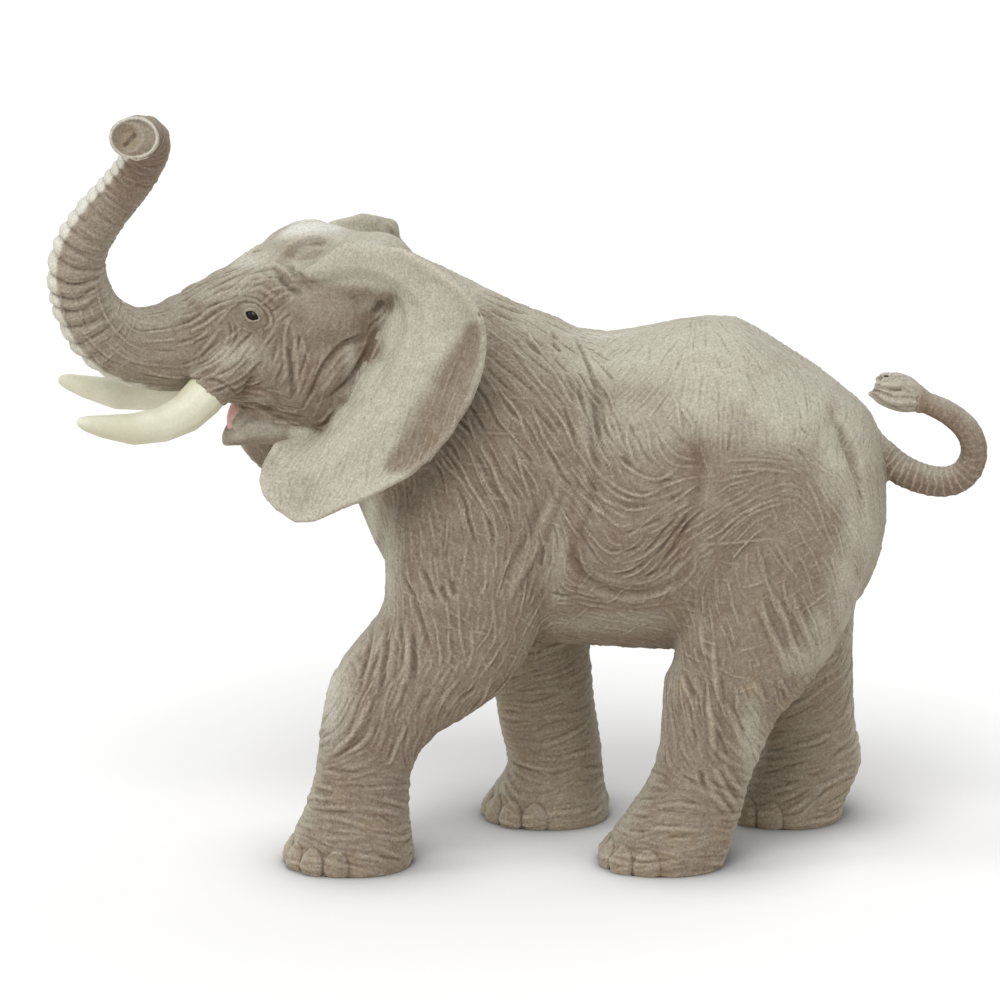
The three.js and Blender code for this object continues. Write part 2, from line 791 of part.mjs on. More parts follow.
function tuftSkin() {
  const end = tailPath.at(-1).place;
  const ahead = end.clone().sub(tailPath.at(-2).place).normalize();
  const path = smoothRows(tuftShares, smallSections).map(([onward, radius]) => ({
    place: end.clone().addScaledVector(ahead, onward * tuftLength),
    radius: radius * tuftThickness,
  }));
  return skinThrough(ringsAlong(path, leftward, tailSides));
}

// The plug on the tail, with a clearance the socket for it, or with a boss the wall round that.
const tailPlug = ({ clearance = 0, boss = 0 }) =>
  peg({
    from: tailSeam,
    along: tailBackward.clone().negate(),
    length: tailPlugLength + boss,
    radius: tailPlugRadius + boss,
    clearance,
  });

function makeTail() {
  const seam = moved(tailRings[tailSeamIndex], tailBackward, glueGap / 2);
  const tail = skinThrough([seam, ...tailRings.slice(tailSeamIndex + 1)]);
  return join(largestOf(cut(tail, torsoSkin(-glueGap))), tuftSkin(), tailPlug({}));
}

// Torso halves

const neckSeamAlongShare = 0.03; // of bodyLength
const neckSeam = new THREE.Vector3(neckSeamAlongShare * bodyLength, 0, pivot.z);
const neckForward = new THREE.Vector3(-Math.cos(radians(neckLean)), 0, Math.sin(radians(neckLean)));
neckForward.applyAxisAngle(upward, radians(headYaw / 2));
const neckBackward = neckForward.clone().negate();

const neckPlug = (clearance) =>
  peg({
    from: neckSeam,
    along: neckBackward,
    length: neckPlugLength,
    radius: neckPlugRadius,
    clearance,
  });

// Where the pins between the halves stand: along the body and up, of bodyLength and backHeight.
const pinShares = [
  [0.25, 0.76],
  [0.55, 0.52],
  [0.85, 0.72],
];
const pinPlaces = pinShares.map(([along, up]) => new THREE.Vector3(along * bodyLength, 0, up * backHeight));

const pins = (clearance) =>
  pinPlaces.map((from) => peg({ from, along: rightward, length: pinLength, radius: pinRadius, clearance }));

const posts = () =>
  pinPlaces.map((place) =>
    bar({
      from: place.clone().addScaledVector(leftward, bodyWidth),
      along: rightward,
      length: 2 * bodyWidth,
      radius: postRadius,
    }),
  );

// The hollow in the torso stops short of the neck, and leaves a boss round every socket and pin.
function torsoHollow() {
  const neckWall = neckSeam.clone().addScaledVector(neckBackward, neckPlugLength + wall);
  const hollow = torsoSkin(wall, hollowSections, hollowSides).intersect(beyond(neckWall, neckBackward));
  const legBosses = legNames.map((name) => legPlug(name, wall));
  return cut(hollow, ...legBosses, tailPlug({ boss: wall }), ...posts());
}

function makeTorsoHalves() {
  const skin = join(torsoSkin(0), ...legNames.map(legSkin), skullSkin(0), tailStump())
    .intersect(beyond(legSeam, upward))
    .intersect(beyond(neckSeam, neckBackward));
  const sockets = [
    neckPlug(plugClearance),
    tailPlug({ clearance: plugClearance }),
    ...legNames.map((name) => legPlug(name, plugClearance)),
  ];
  const body = cut(skin, torsoHollow(), ...sockets);
  const half = (way) => body.intersect(beyond(new THREE.Vector3(), way));
  return {
    torso_left_shell: join(half(leftward), ...pins(0)),
    torso_right_shell: cut(half(rightward), ...pins(plugClearance)),
  };
}

function makeHead() {
  const skin = join(skullSkin(0), torsoSkin(0)).intersect(beyond(neckSeam, neckForward));
  const trunkBase = trunkSkin().intersect(beyond(trunkRoot, headForward.clone().negate()));
  const body = join(skin, neckPlug(0), trunkBase, sheathSkin(1, 0), sheathSkin(-1, 0));
  const sockets = [1, -1].flatMap((side) => [
    tuskSkin(side, glueGap),
    eyeBall(side, glueGap),
    earTab(side, plugClearance),
  ]);
  return cut(body, ...sockets, jawPeg(plugClearance), trunkPlug(plugClearance));
}

// Scene

const skinPaint = { color: 0x968a7d, roughness: 0.78, metalness: 0 };
const ivoryPaint = { color: 0xe9e7d2, roughness: 0.45, metalness: 0 };
const mouthPaint = { color: 0xdba59c, roughness: 0.55, metalness: 0 };
const eyePaint = { color: 0x17120f, roughness: 0.12, metalness: 0 };

const figure = new THREE.Group();

function addPiece(name, solid, paint) {
  const mesh = new THREE.Mesh(geometryOf(solid), new THREE.MeshStandardMaterial(paint));
  mesh.name = name;
  figure.add(mesh);
}

for (const [name, solid] of Object.entries(makeTorsoHalves())) {
  addPiece(name, solid, skinPaint);
}
for (const name of legNames) {
  addPiece(name, makeLeg(name), skinPaint);
}
addPiece("head", makeHead(), skinPaint);
addPiece("trunk", makeTrunk(), skinPaint);
addPiece("lower_jaw", makeJaw(), skinPaint);
addPiece("tongue", makeTongue(), mouthPaint);
addPiece("tail", makeTail(), skinPaint);
for (const [word, side] of Object.entries({ left: 1, right: -1 })) {
  addPiece(`${word}_ear`, makeEar(side), skinPaint);
  addPiece(`${word}_tusk`, tuskSkin(side, 0), ivoryPaint);
  addPiece(`${word}_eye`, eyeBall(side, 0), eyePaint);
}

// The figure stands on the origin, which lies under the middle of its outer box.
const box = new THREE.Box3().setFromObject(figure);
const middle = box.getCenter(new THREE.Vector3());
figure.position.set(-middle.x, -middle.y, -box.min.z);

const scene = new THREE.Group();
scene.add(figure);

export default scene;
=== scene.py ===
import math

import bmesh
import bpy
import numpy as np
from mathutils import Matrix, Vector, kdtree
from mathutils.bvhtree import BVHTree


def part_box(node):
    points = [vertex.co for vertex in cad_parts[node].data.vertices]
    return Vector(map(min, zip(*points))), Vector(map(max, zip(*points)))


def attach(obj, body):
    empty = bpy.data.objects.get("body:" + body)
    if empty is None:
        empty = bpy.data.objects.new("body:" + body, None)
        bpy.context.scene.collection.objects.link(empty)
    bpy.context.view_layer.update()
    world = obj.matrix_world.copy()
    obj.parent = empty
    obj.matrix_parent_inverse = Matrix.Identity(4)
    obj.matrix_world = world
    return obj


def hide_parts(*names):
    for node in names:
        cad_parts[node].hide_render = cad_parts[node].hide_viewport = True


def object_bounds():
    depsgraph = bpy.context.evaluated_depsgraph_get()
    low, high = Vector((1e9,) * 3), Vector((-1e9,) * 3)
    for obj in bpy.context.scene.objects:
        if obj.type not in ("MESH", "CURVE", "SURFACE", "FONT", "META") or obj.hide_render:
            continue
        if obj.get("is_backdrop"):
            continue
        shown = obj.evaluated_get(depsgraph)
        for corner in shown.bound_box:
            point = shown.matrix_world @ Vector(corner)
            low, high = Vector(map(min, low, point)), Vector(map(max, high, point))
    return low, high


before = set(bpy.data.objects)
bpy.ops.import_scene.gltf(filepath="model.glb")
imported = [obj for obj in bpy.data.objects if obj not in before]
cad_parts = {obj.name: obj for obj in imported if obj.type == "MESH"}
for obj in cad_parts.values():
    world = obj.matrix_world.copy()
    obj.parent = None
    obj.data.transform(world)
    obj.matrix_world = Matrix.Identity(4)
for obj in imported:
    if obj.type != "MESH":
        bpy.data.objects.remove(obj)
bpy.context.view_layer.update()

mm = 0.001

# ---------------------------------------------------------------- camera
# The photograph looks along +Y from 15 degrees above level. Its picture is 1000 pixels wide and high.

picture_middle = 500
lens_in_pixels = 8695.65
sensor_width = 36
camera_drop = math.radians(15)
camera_place = np.array((-4.1, -1931.8, 598.2)) * mm
sight = np.array((0, math.cos(camera_drop), -math.sin(camera_drop)))
picture_up = np.array((0, math.sin(camera_drop), math.cos(camera_drop)))

camera_data = bpy.data.cameras.new("camera")
camera_data.sensor_width = sensor_width
camera_data.lens = sensor_width * lens_in_pixels / (2 * picture_middle)
camera_data.clip_start = 0.1
camera_data.clip_end = 20
camera = bpy.data.objects.new("camera", camera_data)
camera.location = Vector(camera_place)
camera.rotation_euler = (math.pi / 2 - camera_drop, 0, 0)
bpy.context.scene.collection.objects.link(camera)
bpy.context.scene.camera = camera


def in_picture(points):
    """Where points fall in the photograph, in pixels."""
    away = points - camera_place
    depth = away @ sight
    return np.stack(
        [
            picture_middle + lens_in_pixels * away[:, 0] / depth,
            picture_middle - lens_in_pixels * (away @ picture_up) / depth,
        ],
        -1,
    )


def line_of_sight(x, y):
    """The way from the camera through a pixel of the photograph."""
    way = sight + (x - picture_middle) / lens_in_pixels * np.array((1, 0, 0))
    return way - (y - picture_middle) / lens_in_pixels * picture_up


# ---------------------------------------------------------------- small tools


def select_only(*things):
    bpy.ops.object.select_all(action="DESELECT")
    for thing in things:
        thing.select_set(True)
    bpy.context.view_layer.objects.active = things[0]


def apply_modifier(thing, kind, **settings):
    select_only(thing)
    modifier = thing.modifiers.new(kind.lower(), kind)
    for name, value in settings.items():
        setattr(modifier, name, value)
    bpy.ops.object.modifier_apply(modifier=modifier.name)


def edit_whole(thing, operate, **settings):
    """Runs one editing step on all of a piece."""
    select_only(thing)
    bpy.ops.object.mode_set(mode="EDIT")
    bpy.ops.mesh.select_all(action="SELECT")
    operate(**settings)
    bpy.ops.object.mode_set(mode="OBJECT")


def merged_copy(node, name):
    """The node's solid as a new piece, with its loose triangles joined."""
    thing = bpy.data.objects.new(name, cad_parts[node].data.copy())
    thing.data.materials.clear()
    bpy.context.scene.collection.objects.link(thing)
    edit_whole(thing, bpy.ops.mesh.remove_doubles, threshold=1e-6)
    return thing


def read_values(items, name, width=1, kind=np.float32):
    """A number, or a row of them, from each item of a mesh."""
    flat = np.empty(len(items) * width, kind)
    items.foreach_get(name, flat)
    return flat.reshape(-1, width) if width > 1 else flat


def read_points(mesh):
    return read_values(mesh.vertices, "co", 3).astype(float)


def write_points(mesh, points):
    mesh.vertices.foreach_set("co", points.astype(np.float32).ravel())
    mesh.update()


def read_normals(mesh):
    return read_values(mesh.vertex_normals, "vector", 3).astype(float)


def read_edges(mesh):
    return read_values(mesh.edges, "vertices", 2, np.int32)


def write_layer(mesh, name, values):
    layer = mesh.attributes.get(name) or mesh.attributes.new(name, "FLOAT", "POINT")
    layer.data.foreach_set("value", values.astype(np.float32))


def unit(vectors):
    return vectors / np.maximum(np.linalg.norm(vectors, axis=-1, keepdims=True), 1e-12)


def ease(values, low, high):
    """0 below low, 1 above high and smooth between them."""
    share = np.clip((values - low) / (high - low), 0, 1)
    return share * share * (3 - 2 * share)


def hump(values, middle, half):
    """1 at the middle, fading to nothing on both sides of it."""
    return np.exp(-(((values - middle) / half) ** 2))


def neighbour_mean(values, edges, count):
    """The mean of each point's neighbours along the edges."""
    first, second = edges[:, 0], edges[:, 1]
    number = np.bincount(first, minlength=count) + np.bincount(second, minlength=count)
    columns = values.reshape(count, -1)
    total = np.stack(
        [
            np.bincount(first, weights=columns[second, k], minlength=count)
            + np.bincount(second, weights=columns[first, k], minlength=count)
            for k in range(columns.shape[1])
        ],
        -1,
    )
    return (total / np.maximum(number, 1)[:, None]).reshape(values.shape)


def soften(values, edges, times, share=0.5):
    """Values spread over the skin by so many steps. The share may differ from point to point."""
    for _ in range(times):
        values = values + share * (neighbour_mean(values, edges, len(values)) - values)
    return values


def grit(points, cell, seed):
    """Smooth noise from -1 to 1, with bumps about a cell across."""
    place = points / cell
    corner = np.floor(place).astype(np.int64)
    part = place - corner
    part = part * part * (3 - 2 * part)
    total = np.zeros(len(points))
    for step in np.ndindex(2, 2, 2):
        x, y, z = (corner + step).T
        mixed = (x * 73856093) ^ (y * 19349663) ^ (z * 83492791) ^ (seed * 2654435761)
        mixed = (mixed ^ (mixed >> 13)) * 1274126177 & 0xFFFFFFFF
        mixed = (mixed ^ (mixed >> 16)) * 2246822519 & 0xFFFFFFFF
        mixed = mixed ^ (mixed >> 15)
        share = np.prod(np.where(step, part, 1 - part), axis=1)
        total += share * ((mixed & 0xFFFF) / 32767.5 - 1)
    return total


def streaks(points, ways, cell, taps, seed):
    """The same noise, drawn out along each point's way."""
    total = np.zeros(len(points))
    for tap in range(-taps, taps + 1):
        total += grit(points + ways * (tap * cell * 0.5), cell, seed)
    return total / math.sqrt(2 * taps + 1) * 1.2


def smooth_line(points, spacing):
    """Points a fixed spacing apart on a smooth curve through the given ones."""
    rows = np.array(points, float)
    padded = np.vstack([2 * rows[0] - rows[1], rows, 2 * rows[-1] - rows[-2]])
    fine = []
    for a, b, c, d in zip(padded[:-3], padded[1:-2], padded[2:-1], padded[3:]):
        for t in np.linspace(0, 1, 16, endpoint=False):
            fine.append(
                0.5 * (2 * b + (c - a) * t + (2 * a - 5 * b + 4 * c - d) * t * t + (3 * b - a - 3 * c + d) * t**3)
            )
    fine.append(rows[-1])
    fine = np.array(fine)
    run = np.concatenate([[0], np.cumsum(np.linalg.norm(np.diff(fine, axis=0), axis=1))])
    want = np.linspace(0, run[-1], max(2, int(round(run[-1] / spacing)) + 1))
    return np.stack([np.interp(want, run, fine[:, k]) for k in range(fine.shape[1])], -1)


# ---------------------------------------------------------------- clay

skin_nodes = [
    "torso_left_shell",
    "torso_right_shell",
    "front_left_leg",
    "front_right_leg",
    "rear_left_leg",
    "rear_right_leg",
    "head",
    "trunk",
    "lower_jaw",
    "tail",
    "left_ear",
    "right_ear",
]
eye_nodes = ["left_eye", "right_eye"]
halved_nodes = skin_nodes[:2]  # each of these is two pieces of skin, fore and hind
clay_grain = 0.4 * mm
clay_growth = 0.2 * mm  # what smoothing takes off again
lid_thickness = 0.4 * mm


def spot(x, y, depth):
    """The place under a pixel of the photograph on the upright plane at this depth, in mm along Y."""
    way = line_of_sight(x, y)
    return camera_place + way * ((depth * mm - camera_place[1]) / way[1])


# Clay added where two mouldings are rounded into each other: pixel, depth, and half sizes in mm.
added_clay = [
    (257, 404, -11.5, 3.6, 3.0, 3.8),  # the corner of the mouth
    (270, 410, -11.0, 5.0, 4.0, 4.2),
    (283, 418, -10.5, 4.5, 4.0, 4.0),
    (262, 398, -12.5, 2.6, 2.0, 2.6),
    (247, 413, -11.5, 1.8, 2.5, 2.6),
    (242, 419, -11.3, 1.6, 2.4, 2.2),
    (237, 425, -11.0, 1.4, 2.2, 1.8),
    (269, 421, -10.3, 5.0, 3.8, 3.4),
    (308, 430, -12.2, 4.4, 4.4, 3.4),
    (881, 450, -1.5, 3.0, 2.8, 3.6),  # the tail's root
    (376, 252, -17.5, 7.0, 7.5, 4.5),  # the fold over the ear's root
    (360, 250, -16.5, 7.0, 7.0, 4.0),
    (345, 251, -16.0, 6.5, 6.5, 4.0),
    (330, 256, -14.5, 5.5, 5.5, 3.2),
    (317, 263, -14.8, 4.8, 4.8, 2.6),
    (304, 268, -14.3, 4.6, 4.6, 2.6),
    (292, 272, -13.5, 4.6, 4.4, 2.6),
    (281, 276, -13.5, 4.0, 4.0, 2.8),
    (332, 278, -15.8, 5.5, 4.6, 2.8),  # and below it, where it runs out into the cheek
    (348, 280, -16.8, 5.5, 5.0, 3.0),
    (364, 282, -17.6, 5.5, 5.2, 3.2),
    (379, 286, -18.6, 5.0, 5.2, 3.2),
    (297, 424, -11.5, 5.0, 4.8, 4.4),  # the cheek over the jaw
    (284, 428, -10.0, 5.0, 4.4, 4.0),
    (134, 137.5, -33.6, 5.75, 2.6, 4.9),  # the trunk's end
]


def mould_clay():
    """All the skin's solids as one piece of clay, so that no seam shows."""
    lumps = []
    for x, y, depth, *half in added_clay:
        bpy.ops.object.select_all(action="DESELECT")
        bpy.ops.mesh.primitive_uv_sphere_add(
            segments=24, ring_count=16, radius=mm, location=spot(x, y, depth), scale=half
        )
        bpy.ops.object.transform_apply(location=True, rotation=True, scale=True)
        lumps.append(bpy.context.object)
    for node in skin_nodes + eye_nodes:
        lump = merged_copy(node, node + "_lump")
        growth = lid_thickness if node in eye_nodes else clay_growth
        apply_modifier(lump, "DISPLACE", strength=growth, mid_level=0)
        lumps.append(lump)
    select_only(*lumps)
    bpy.ops.object.join()
    clay = bpy.context.object
    apply_modifier(clay, "REMESH", mode="VOXEL", voxel_size=clay_grain)
    edit_whole(clay, bpy.ops.mesh.separate, type="LOOSE")
    shells = sorted(bpy.context.selected_objects, key=lambda thing: -len(thing.data.vertices))
    for shell in shells[1:]:
        bpy.data.objects.remove(shell)
    shells[0].name = "clay"
    return shells[0]


clay = mould_clay()


def nearest_nodes(points):
    """For each point, the number of the skin node that it lies on."""
    corners, faces, nodes = [], [], []
    for number, node in enumerate(skin_nodes):
        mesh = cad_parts[node].data
        start = len(corners)
        corners += [corner.co for corner in mesh.vertices]
        faces += [[start + k for k in face.vertices] for face in mesh.polygons]
        nodes += [number] * len(mesh.polygons)
    tree = BVHTree.FromPolygons(corners, faces)
    return np.array([nodes[tree.find_nearest(point)[2]] for point in points.tolist()])


def islands(count, edges):
    """A number for each point that is the same all over one connected patch."""
    leader = np.arange(count)
    while True:
        low = np.minimum(leader[edges[:, 0]], leader[edges[:, 1]])
        fresh = leader.copy()
        np.minimum.at(fresh, edges[:, 0], low)
        np.minimum.at(fresh, edges[:, 1], low)
        np.minimum.at(fresh, leader[edges[:, 0]], low)
        np.minimum.at(fresh, leader[edges[:, 1]], low)
        fresh = fresh[fresh]
        if (fresh == leader).all():
            return leader
        leader = fresh


asked_each = 4  # one point of so many is asked which node it lies on
spreading_rounds = 7
owner_hold = 0.12  # how much a known owner outweighs its neighbours'


def node_votes(owner, known, edges):
    """How much of each point's neighbourhood belongs to each node."""
    return np.stack(
        [neighbour_mean(((owner == k) & known).astype(float), edges, len(owner)) for k in range(len(skin_nodes))], -1
    )


def find_owners(points, edges):
    """The node of every point: asked of some, spread to the rest, with ragged borders and stray patches mended."""
    count = len(points)
    asked = np.arange(0, count, asked_each)
    owner, known = np.zeros(count, int), np.zeros(count, bool)
    owner[asked], known[asked] = nearest_nodes(points[asked]), True
    for _ in range(spreading_rounds):
        votes = node_votes(owner, known, edges)
        votes[np.arange(count), owner] += owner_hold * known
        settled = votes.max(1) > 0
        owner = np.where(settled, votes.argmax(1), owner)
        known |= settled
    same = edges[owner[edges[:, 0]] == owner[edges[:, 1]]]
    patch = islands(count, same)
    stray = np.zeros(count, bool)
    for k in range(len(skin_nodes)):
        mine = owner == k
        names, sizes = np.unique(patch[mine], return_counts=True)
        stray |= mine & (patch != names[sizes.argmax()])
    while stray.any():
        votes = node_votes(owner, ~stray, edges)
        settled = stray & (votes.max(1) > 0)
        if not settled.any():
            break
        owner = np.where(settled, votes.argmax(1), owner)
        stray &= ~settled
    return owner


skin_mesh = clay.data
at = read_points(skin_mesh)
edges = read_edges(skin_mesh)
owner = find_owners(at, edges)
write_layer(skin_mesh, "moulding", owner)


def on(*nodes):
    """True for the points of these nodes."""
    return np.isin(owner, [skin_nodes.index(node) for node in nodes])


def smooth_clay(name, part, times):
    """Smooths a part of the clay, less and less towards its border."""
    share = soften(part.astype(float), edges, 10)
    share[at[:, 2] < 0.5 * mm] = 0  # the soles stay flat
    group = clay.vertex_groups.new(name=name)
    for weight in (0.25, 0.5, 0.75, 1):
        chosen = np.nonzero(np.abs(share - weight) <= 0.125)[0]
        group.add(chosen.tolist(), weight, "REPLACE")
    apply_modifier(clay, "SMOOTH", factor=0.5, iterations=times, vertex_group=name)


# The big forms lose their facets, and the thin ones keep their shape.
bulk = on(*skin_nodes[:6])
smooth_clay("thin_forms", np.ones(len(at), bool), 10)
smooth_clay("head_forms", on("head", "trunk") | bulk, 22)
smooth_clay("body_forms", bulk, 60)

eye_patch = 5 * mm


def refine_eyes():
    """Finer clay round the eyes, for their lids."""
    for times in (1, 2):
        select_only(clay)
        mesh = clay.data
        middles = read_values(mesh.polygons, "center", 3)
        near = np.zeros(len(middles), bool)
        for node in eye_nodes:
            low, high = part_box(node)
            near |= np.linalg.norm(middles - np.array((low + high) / 2), axis=1) < eye_patch / times**0.5
        bpy.ops.object.mode_set(mode="EDIT")
        bpy.ops.mesh.select_all(action="DESELECT")
        bpy.ops.mesh.select_mode(type="FACE")
        bpy.ops.object.mode_set(mode="OBJECT")
        mesh.polygons.foreach_set("select", near)
        bpy.ops.object.mode_set(mode="EDIT")
        bpy.ops.mesh.subdivide(number_cuts=1)
        bpy.ops.object.mode_set(mode="OBJECT")


refine_eyes()
skin_mesh = clay.data
at = read_points(skin_mesh)
edges = read_edges(skin_mesh)
owner = np.rint(read_values(skin_mesh.attributes["moulding"].data, "value")).astype(int)
skin_mesh.attributes.remove(skin_mesh.attributes["moulding"])
at[:, 2] = np.maximum(at[:, 2], 0)
write_points(skin_mesh, at)


most_neighbours = 6


def neighbour_table(edges, count):
    """Up to six neighbours of each point, filled up with the point itself."""
    source = np.concatenate([edges[:, 0], edges[:, 1]])
    other = np.concatenate([edges[:, 1], edges[:, 0]])
    order = np.argsort(source, kind="stable")
    source, other = source[order], other[order]
    first = np.searchsorted(source, np.arange(count))
    rank = np.arange(len(source)) - first[source]
    table = np.repeat(np.arange(count, dtype=np.int32)[:, None], most_neighbours, 1)
    kept = rank < most_neighbours
    table[source[kept], rank[kept]] = other[kept]
    return table


neighbours = neighbour_table(edges, len(at))

# ---------------------------------------------------------------- sides, head and centre lines

body_middle = -1.398 * mm
head_turn, head_roll = math.radians(10), math.radians(2)
head_pivot = np.array((-27.132, -1.398, 115.94)) * mm
turn = np.array(
    ((math.cos(head_turn), -math.sin(head_turn), 0), (math.sin(head_turn), math.cos(head_turn), 0), (0, 0, 1))
) @ np.array(
    ((1, 0, 0), (0, math.cos(head_roll), -math.sin(head_roll)), (0, math.sin(head_roll), math.cos(head_roll)))
)
head_forward, head_left, head_up = turn @ (-1, 0, 0), turn @ (0, -1, 0), turn @ (0, 0, 1)


def on_head(forward, left, above):
    """A place measured from the head's pivot, in mm."""
    return head_pivot + forward * mm * head_forward + left * mm * head_left + above * mm * head_up


def mirrored(points, of_head):
    """The same places on the other side of the head's or the body's middle."""
    if of_head:
        return points - 2 * ((points - head_pivot) @ head_left)[:, None] * head_left
    return points * (1, -1, 1) + np.array((0, 2 * body_middle, 0))


# How far forward, to the left and up the trunk's middle line runs, as shares of its reach, swing and rise.
trunk_reach, trunk_swing, trunk_rise = 26, 22, 54
trunk_root = (49, 0, 4.66)
trunk_shares = [
    (-0.22, 0, 0.01), (0, 0, 0), (0.2, 0.02, -0.018), (0.51, 0.065, 0), (0.72, 0.11, 0.063),
    (0.896, 0.174, 0.178), (0.99, 0.24, 0.34), (0.96, 0.304, 0.467), (0.8, 0.37, 0.605), (0.62, 0.435, 0.715),
    (0.48, 0.52, 0.82), (0.4, 0.65, 0.925), (0.45, 0.826, 0.985), (0.56, 1.0, 1.0),
]
trunk_points = [
    on_head(trunk_root[0] + forward * trunk_reach, left * trunk_swing, trunk_root[2] + above * trunk_rise)
    for forward, left, above in trunk_shares
]
# How far behind and above its root the tail's middle line runs, as shares of its reach, and how far to the left.
tail_reach, tail_swing = 22.5, 7
tail_shares = [
    (-0.42, 0.38, 0), (-0.14, 0.22, 0), (0.04, 0.12, 0), (0.235, -0.03, 0.1), (0.49, -0.125, 0.25),
    (0.715, -0.13, 0.4), (0.89, -0.03, 0.5), (0.975, 0.18, 0.55), (0.92, 0.4, 0.6), (0.77, 0.56, 0.6),
    (0.595, 0.665, 0.6), (0.42, 0.735, 0.6),
]
tail_root = np.array((82.613, -1.398, 89.03))
tail_points = [
    (tail_root + (behind * tail_reach, -left * tail_swing, above * tail_reach)) * mm
    for behind, above, left in tail_shares
]
line_step = 0.5 * mm


def make_finder(places):
    """A tree that finds the places near a point."""
    tree = kdtree.KDTree(len(places))
    for k, place in enumerate(places.tolist()):
        tree.insert(place, k)
    tree.balance()
    return tree


def follow(line_points, points, left):
    """How far along a limb's middle line each point lies, its turn round the line, and the line's way there."""
    line = smooth_line(line_points, line_step)
    way = unit(np.gradient(line, axis=0))
    run = np.concatenate([[0], np.cumsum(np.linalg.norm(np.diff(line, axis=0), axis=1))])
    tree = make_finder(line)
    nearest = np.array([tree.find(point)[1] for point in points.tolist()])
    offset = points - line[nearest]
    ahead = way[nearest]
    along = run[nearest] + (offset * ahead).sum(1)
    out = unit(offset - (offset * ahead).sum(1)[:, None] * ahead)
    side = unit(left - (ahead @ left)[:, None] * ahead)
    under = np.cross(side, ahead)
    around = np.arctan2((out * side).sum(1), (out * under).sum(1))
    return along, around, ahead


# ---------------------------------------------------------------- touch and press


def make_touch():
    """A tree that finds where a ray meets the clay."""
    return BVHTree.FromObject(clay, bpy.context.evaluated_depsgraph_get())


touch_tree = make_touch()
finder = make_finder(at)


def touch(x, y):
    """The place on the near skin under a pixel of the photograph, or None."""
    place = touch_tree.ray_cast(Vector(camera_place), Vector(line_of_sight(x, y)))[0]
    return None if place is None else np.array(place)


raised = np.zeros(len(at))
cut = np.zeros(len(at))


def press(line, width, height):
    """Raises, or with a negative height cuts, a line of the skin that fades at both ends."""
    target = raised if height > 0 else cut
    count = len(line)
    fade = np.minimum(1, np.minimum(np.arange(count), np.arange(count)[::-1]) / (0.28 * count) + 0.08)
    where, strength = [], []
    for place, part in zip(line.tolist(), fade.tolist()):
        for _, k, distance in finder.find_range(place, width):
            where.append(k)
            strength.append(part * (1 - (distance / width) ** 2) ** 2)
    if where:
        np.maximum.at(target, np.array(where), np.array(strength) * abs(height))


pixel_step = 1.6
widest_jump = 4 * mm  # a wider one means that the line leaves the form
far_side_reach = 7 * mm


def draw(pixels, width, height, far_side=True, of_head=False):
    """A line pressed where it lies in the photograph, and in the same place on the far side."""
    places = [touch(x, y) for x, y in smooth_line(pixels, pixel_step)]
    places = np.array([place for place in places if place is not None])
    if len(places) > 1:
        jumps = np.linalg.norm(np.diff(places, axis=0), axis=1) > widest_jump
        if jumps.any():
            places = places[: int(np.argmax(jumps)) + 1]
    if len(places) < 3:
        return
    press(places, width * mm, height * mm)
    if far_side:
        landed = [touch_tree.find_nearest(Vector(place)) for place in mirrored(places, of_head)]
        twin = np.array([np.array(hit[0]) for hit in landed if hit[0] is not None and hit[3] < far_side_reach])
        if len(twin) > 2:
            press(twin, width * mm, height * mm)


# ---------------------------------------------------------------- forms moved one by one


def near_spot(place, reach, of_head, both):
    """How much each point of the skin is caught by a brush of this reach in mm, here and on the far side."""
    shares = [np.zeros(len(at)), np.zeros(len(at))]
    for side, centre in enumerate([place, mirrored(place[None], of_head)[0]][: 1 + both]):
        gap = np.linalg.norm(at - centre, axis=1) / (reach * mm)
        shares[side] = np.clip(1 - gap**2, 0, 1) ** 2
    return shares


def grab(x, y, reach, right, up, out=0.0, of_head=False, both=True, part=None):
    """Pulls the skin round a pixel of the photograph by so many mm to the right, up and out of the picture."""
    global at
    here, there = near_spot(touch(x, y), reach, of_head, both)
    if part is not None:
        here, there = here * part, there * part
    pull = np.array((right, -out, up), float)
    twin = pull - 2 * (pull @ head_left) * head_left if of_head else pull * (1, -1, 1)
    at = at + here[:, None] * pull * mm + there[:, None] * twin * mm


def swell(x, y, reach, height, of_head=False, both=True, long=1.0, slope=0.0, part=None):
    """Raises the skin round a pixel, or hollows it with a negative height. A long form reaches along its slope."""
    global at
    place = touch(x, y)
    turned = math.radians(slope)
    along = np.array((math.cos(turned), 0, -math.sin(turned)))
    total = np.zeros(len(at))
    for centre in [place, mirrored(place[None], of_head)[0]][: 1 + both]:
        offset = at - centre
        run = offset @ along
        gap = np.sqrt(np.maximum((offset**2).sum(1) - run**2 * (1 - 1 / long**2), 0)) / (reach * mm)
        total = np.maximum(total, np.clip(1 - gap**2, 0, 1) ** 2)
    if part is not None:
        total = total * part
    at = at + facing * (total * height * mm)[:, None]


def calm(x, y, reach, times, of_head=False, both=True):
    """Rubs the skin smooth round a pixel."""
    global at
    here, there = near_spot(touch(x, y), reach, of_head, both)
    share = np.maximum(here, there)
    some = share > 0
    for _ in range(2):
        some[neighbours[some].ravel()] = True
    chosen = np.nonzero(some)[0]
    table, weight = neighbours[chosen], np.minimum(1, 2 * share[chosen])[:, None]
    for _ in range(times):
        at[chosen] += 0.5 * weight * (at[table].mean(1) - at[chosen])


facing = read_normals(skin_mesh)
ears, face_part = on("left_ear", "right_ear"), on("head", "lower_jaw")

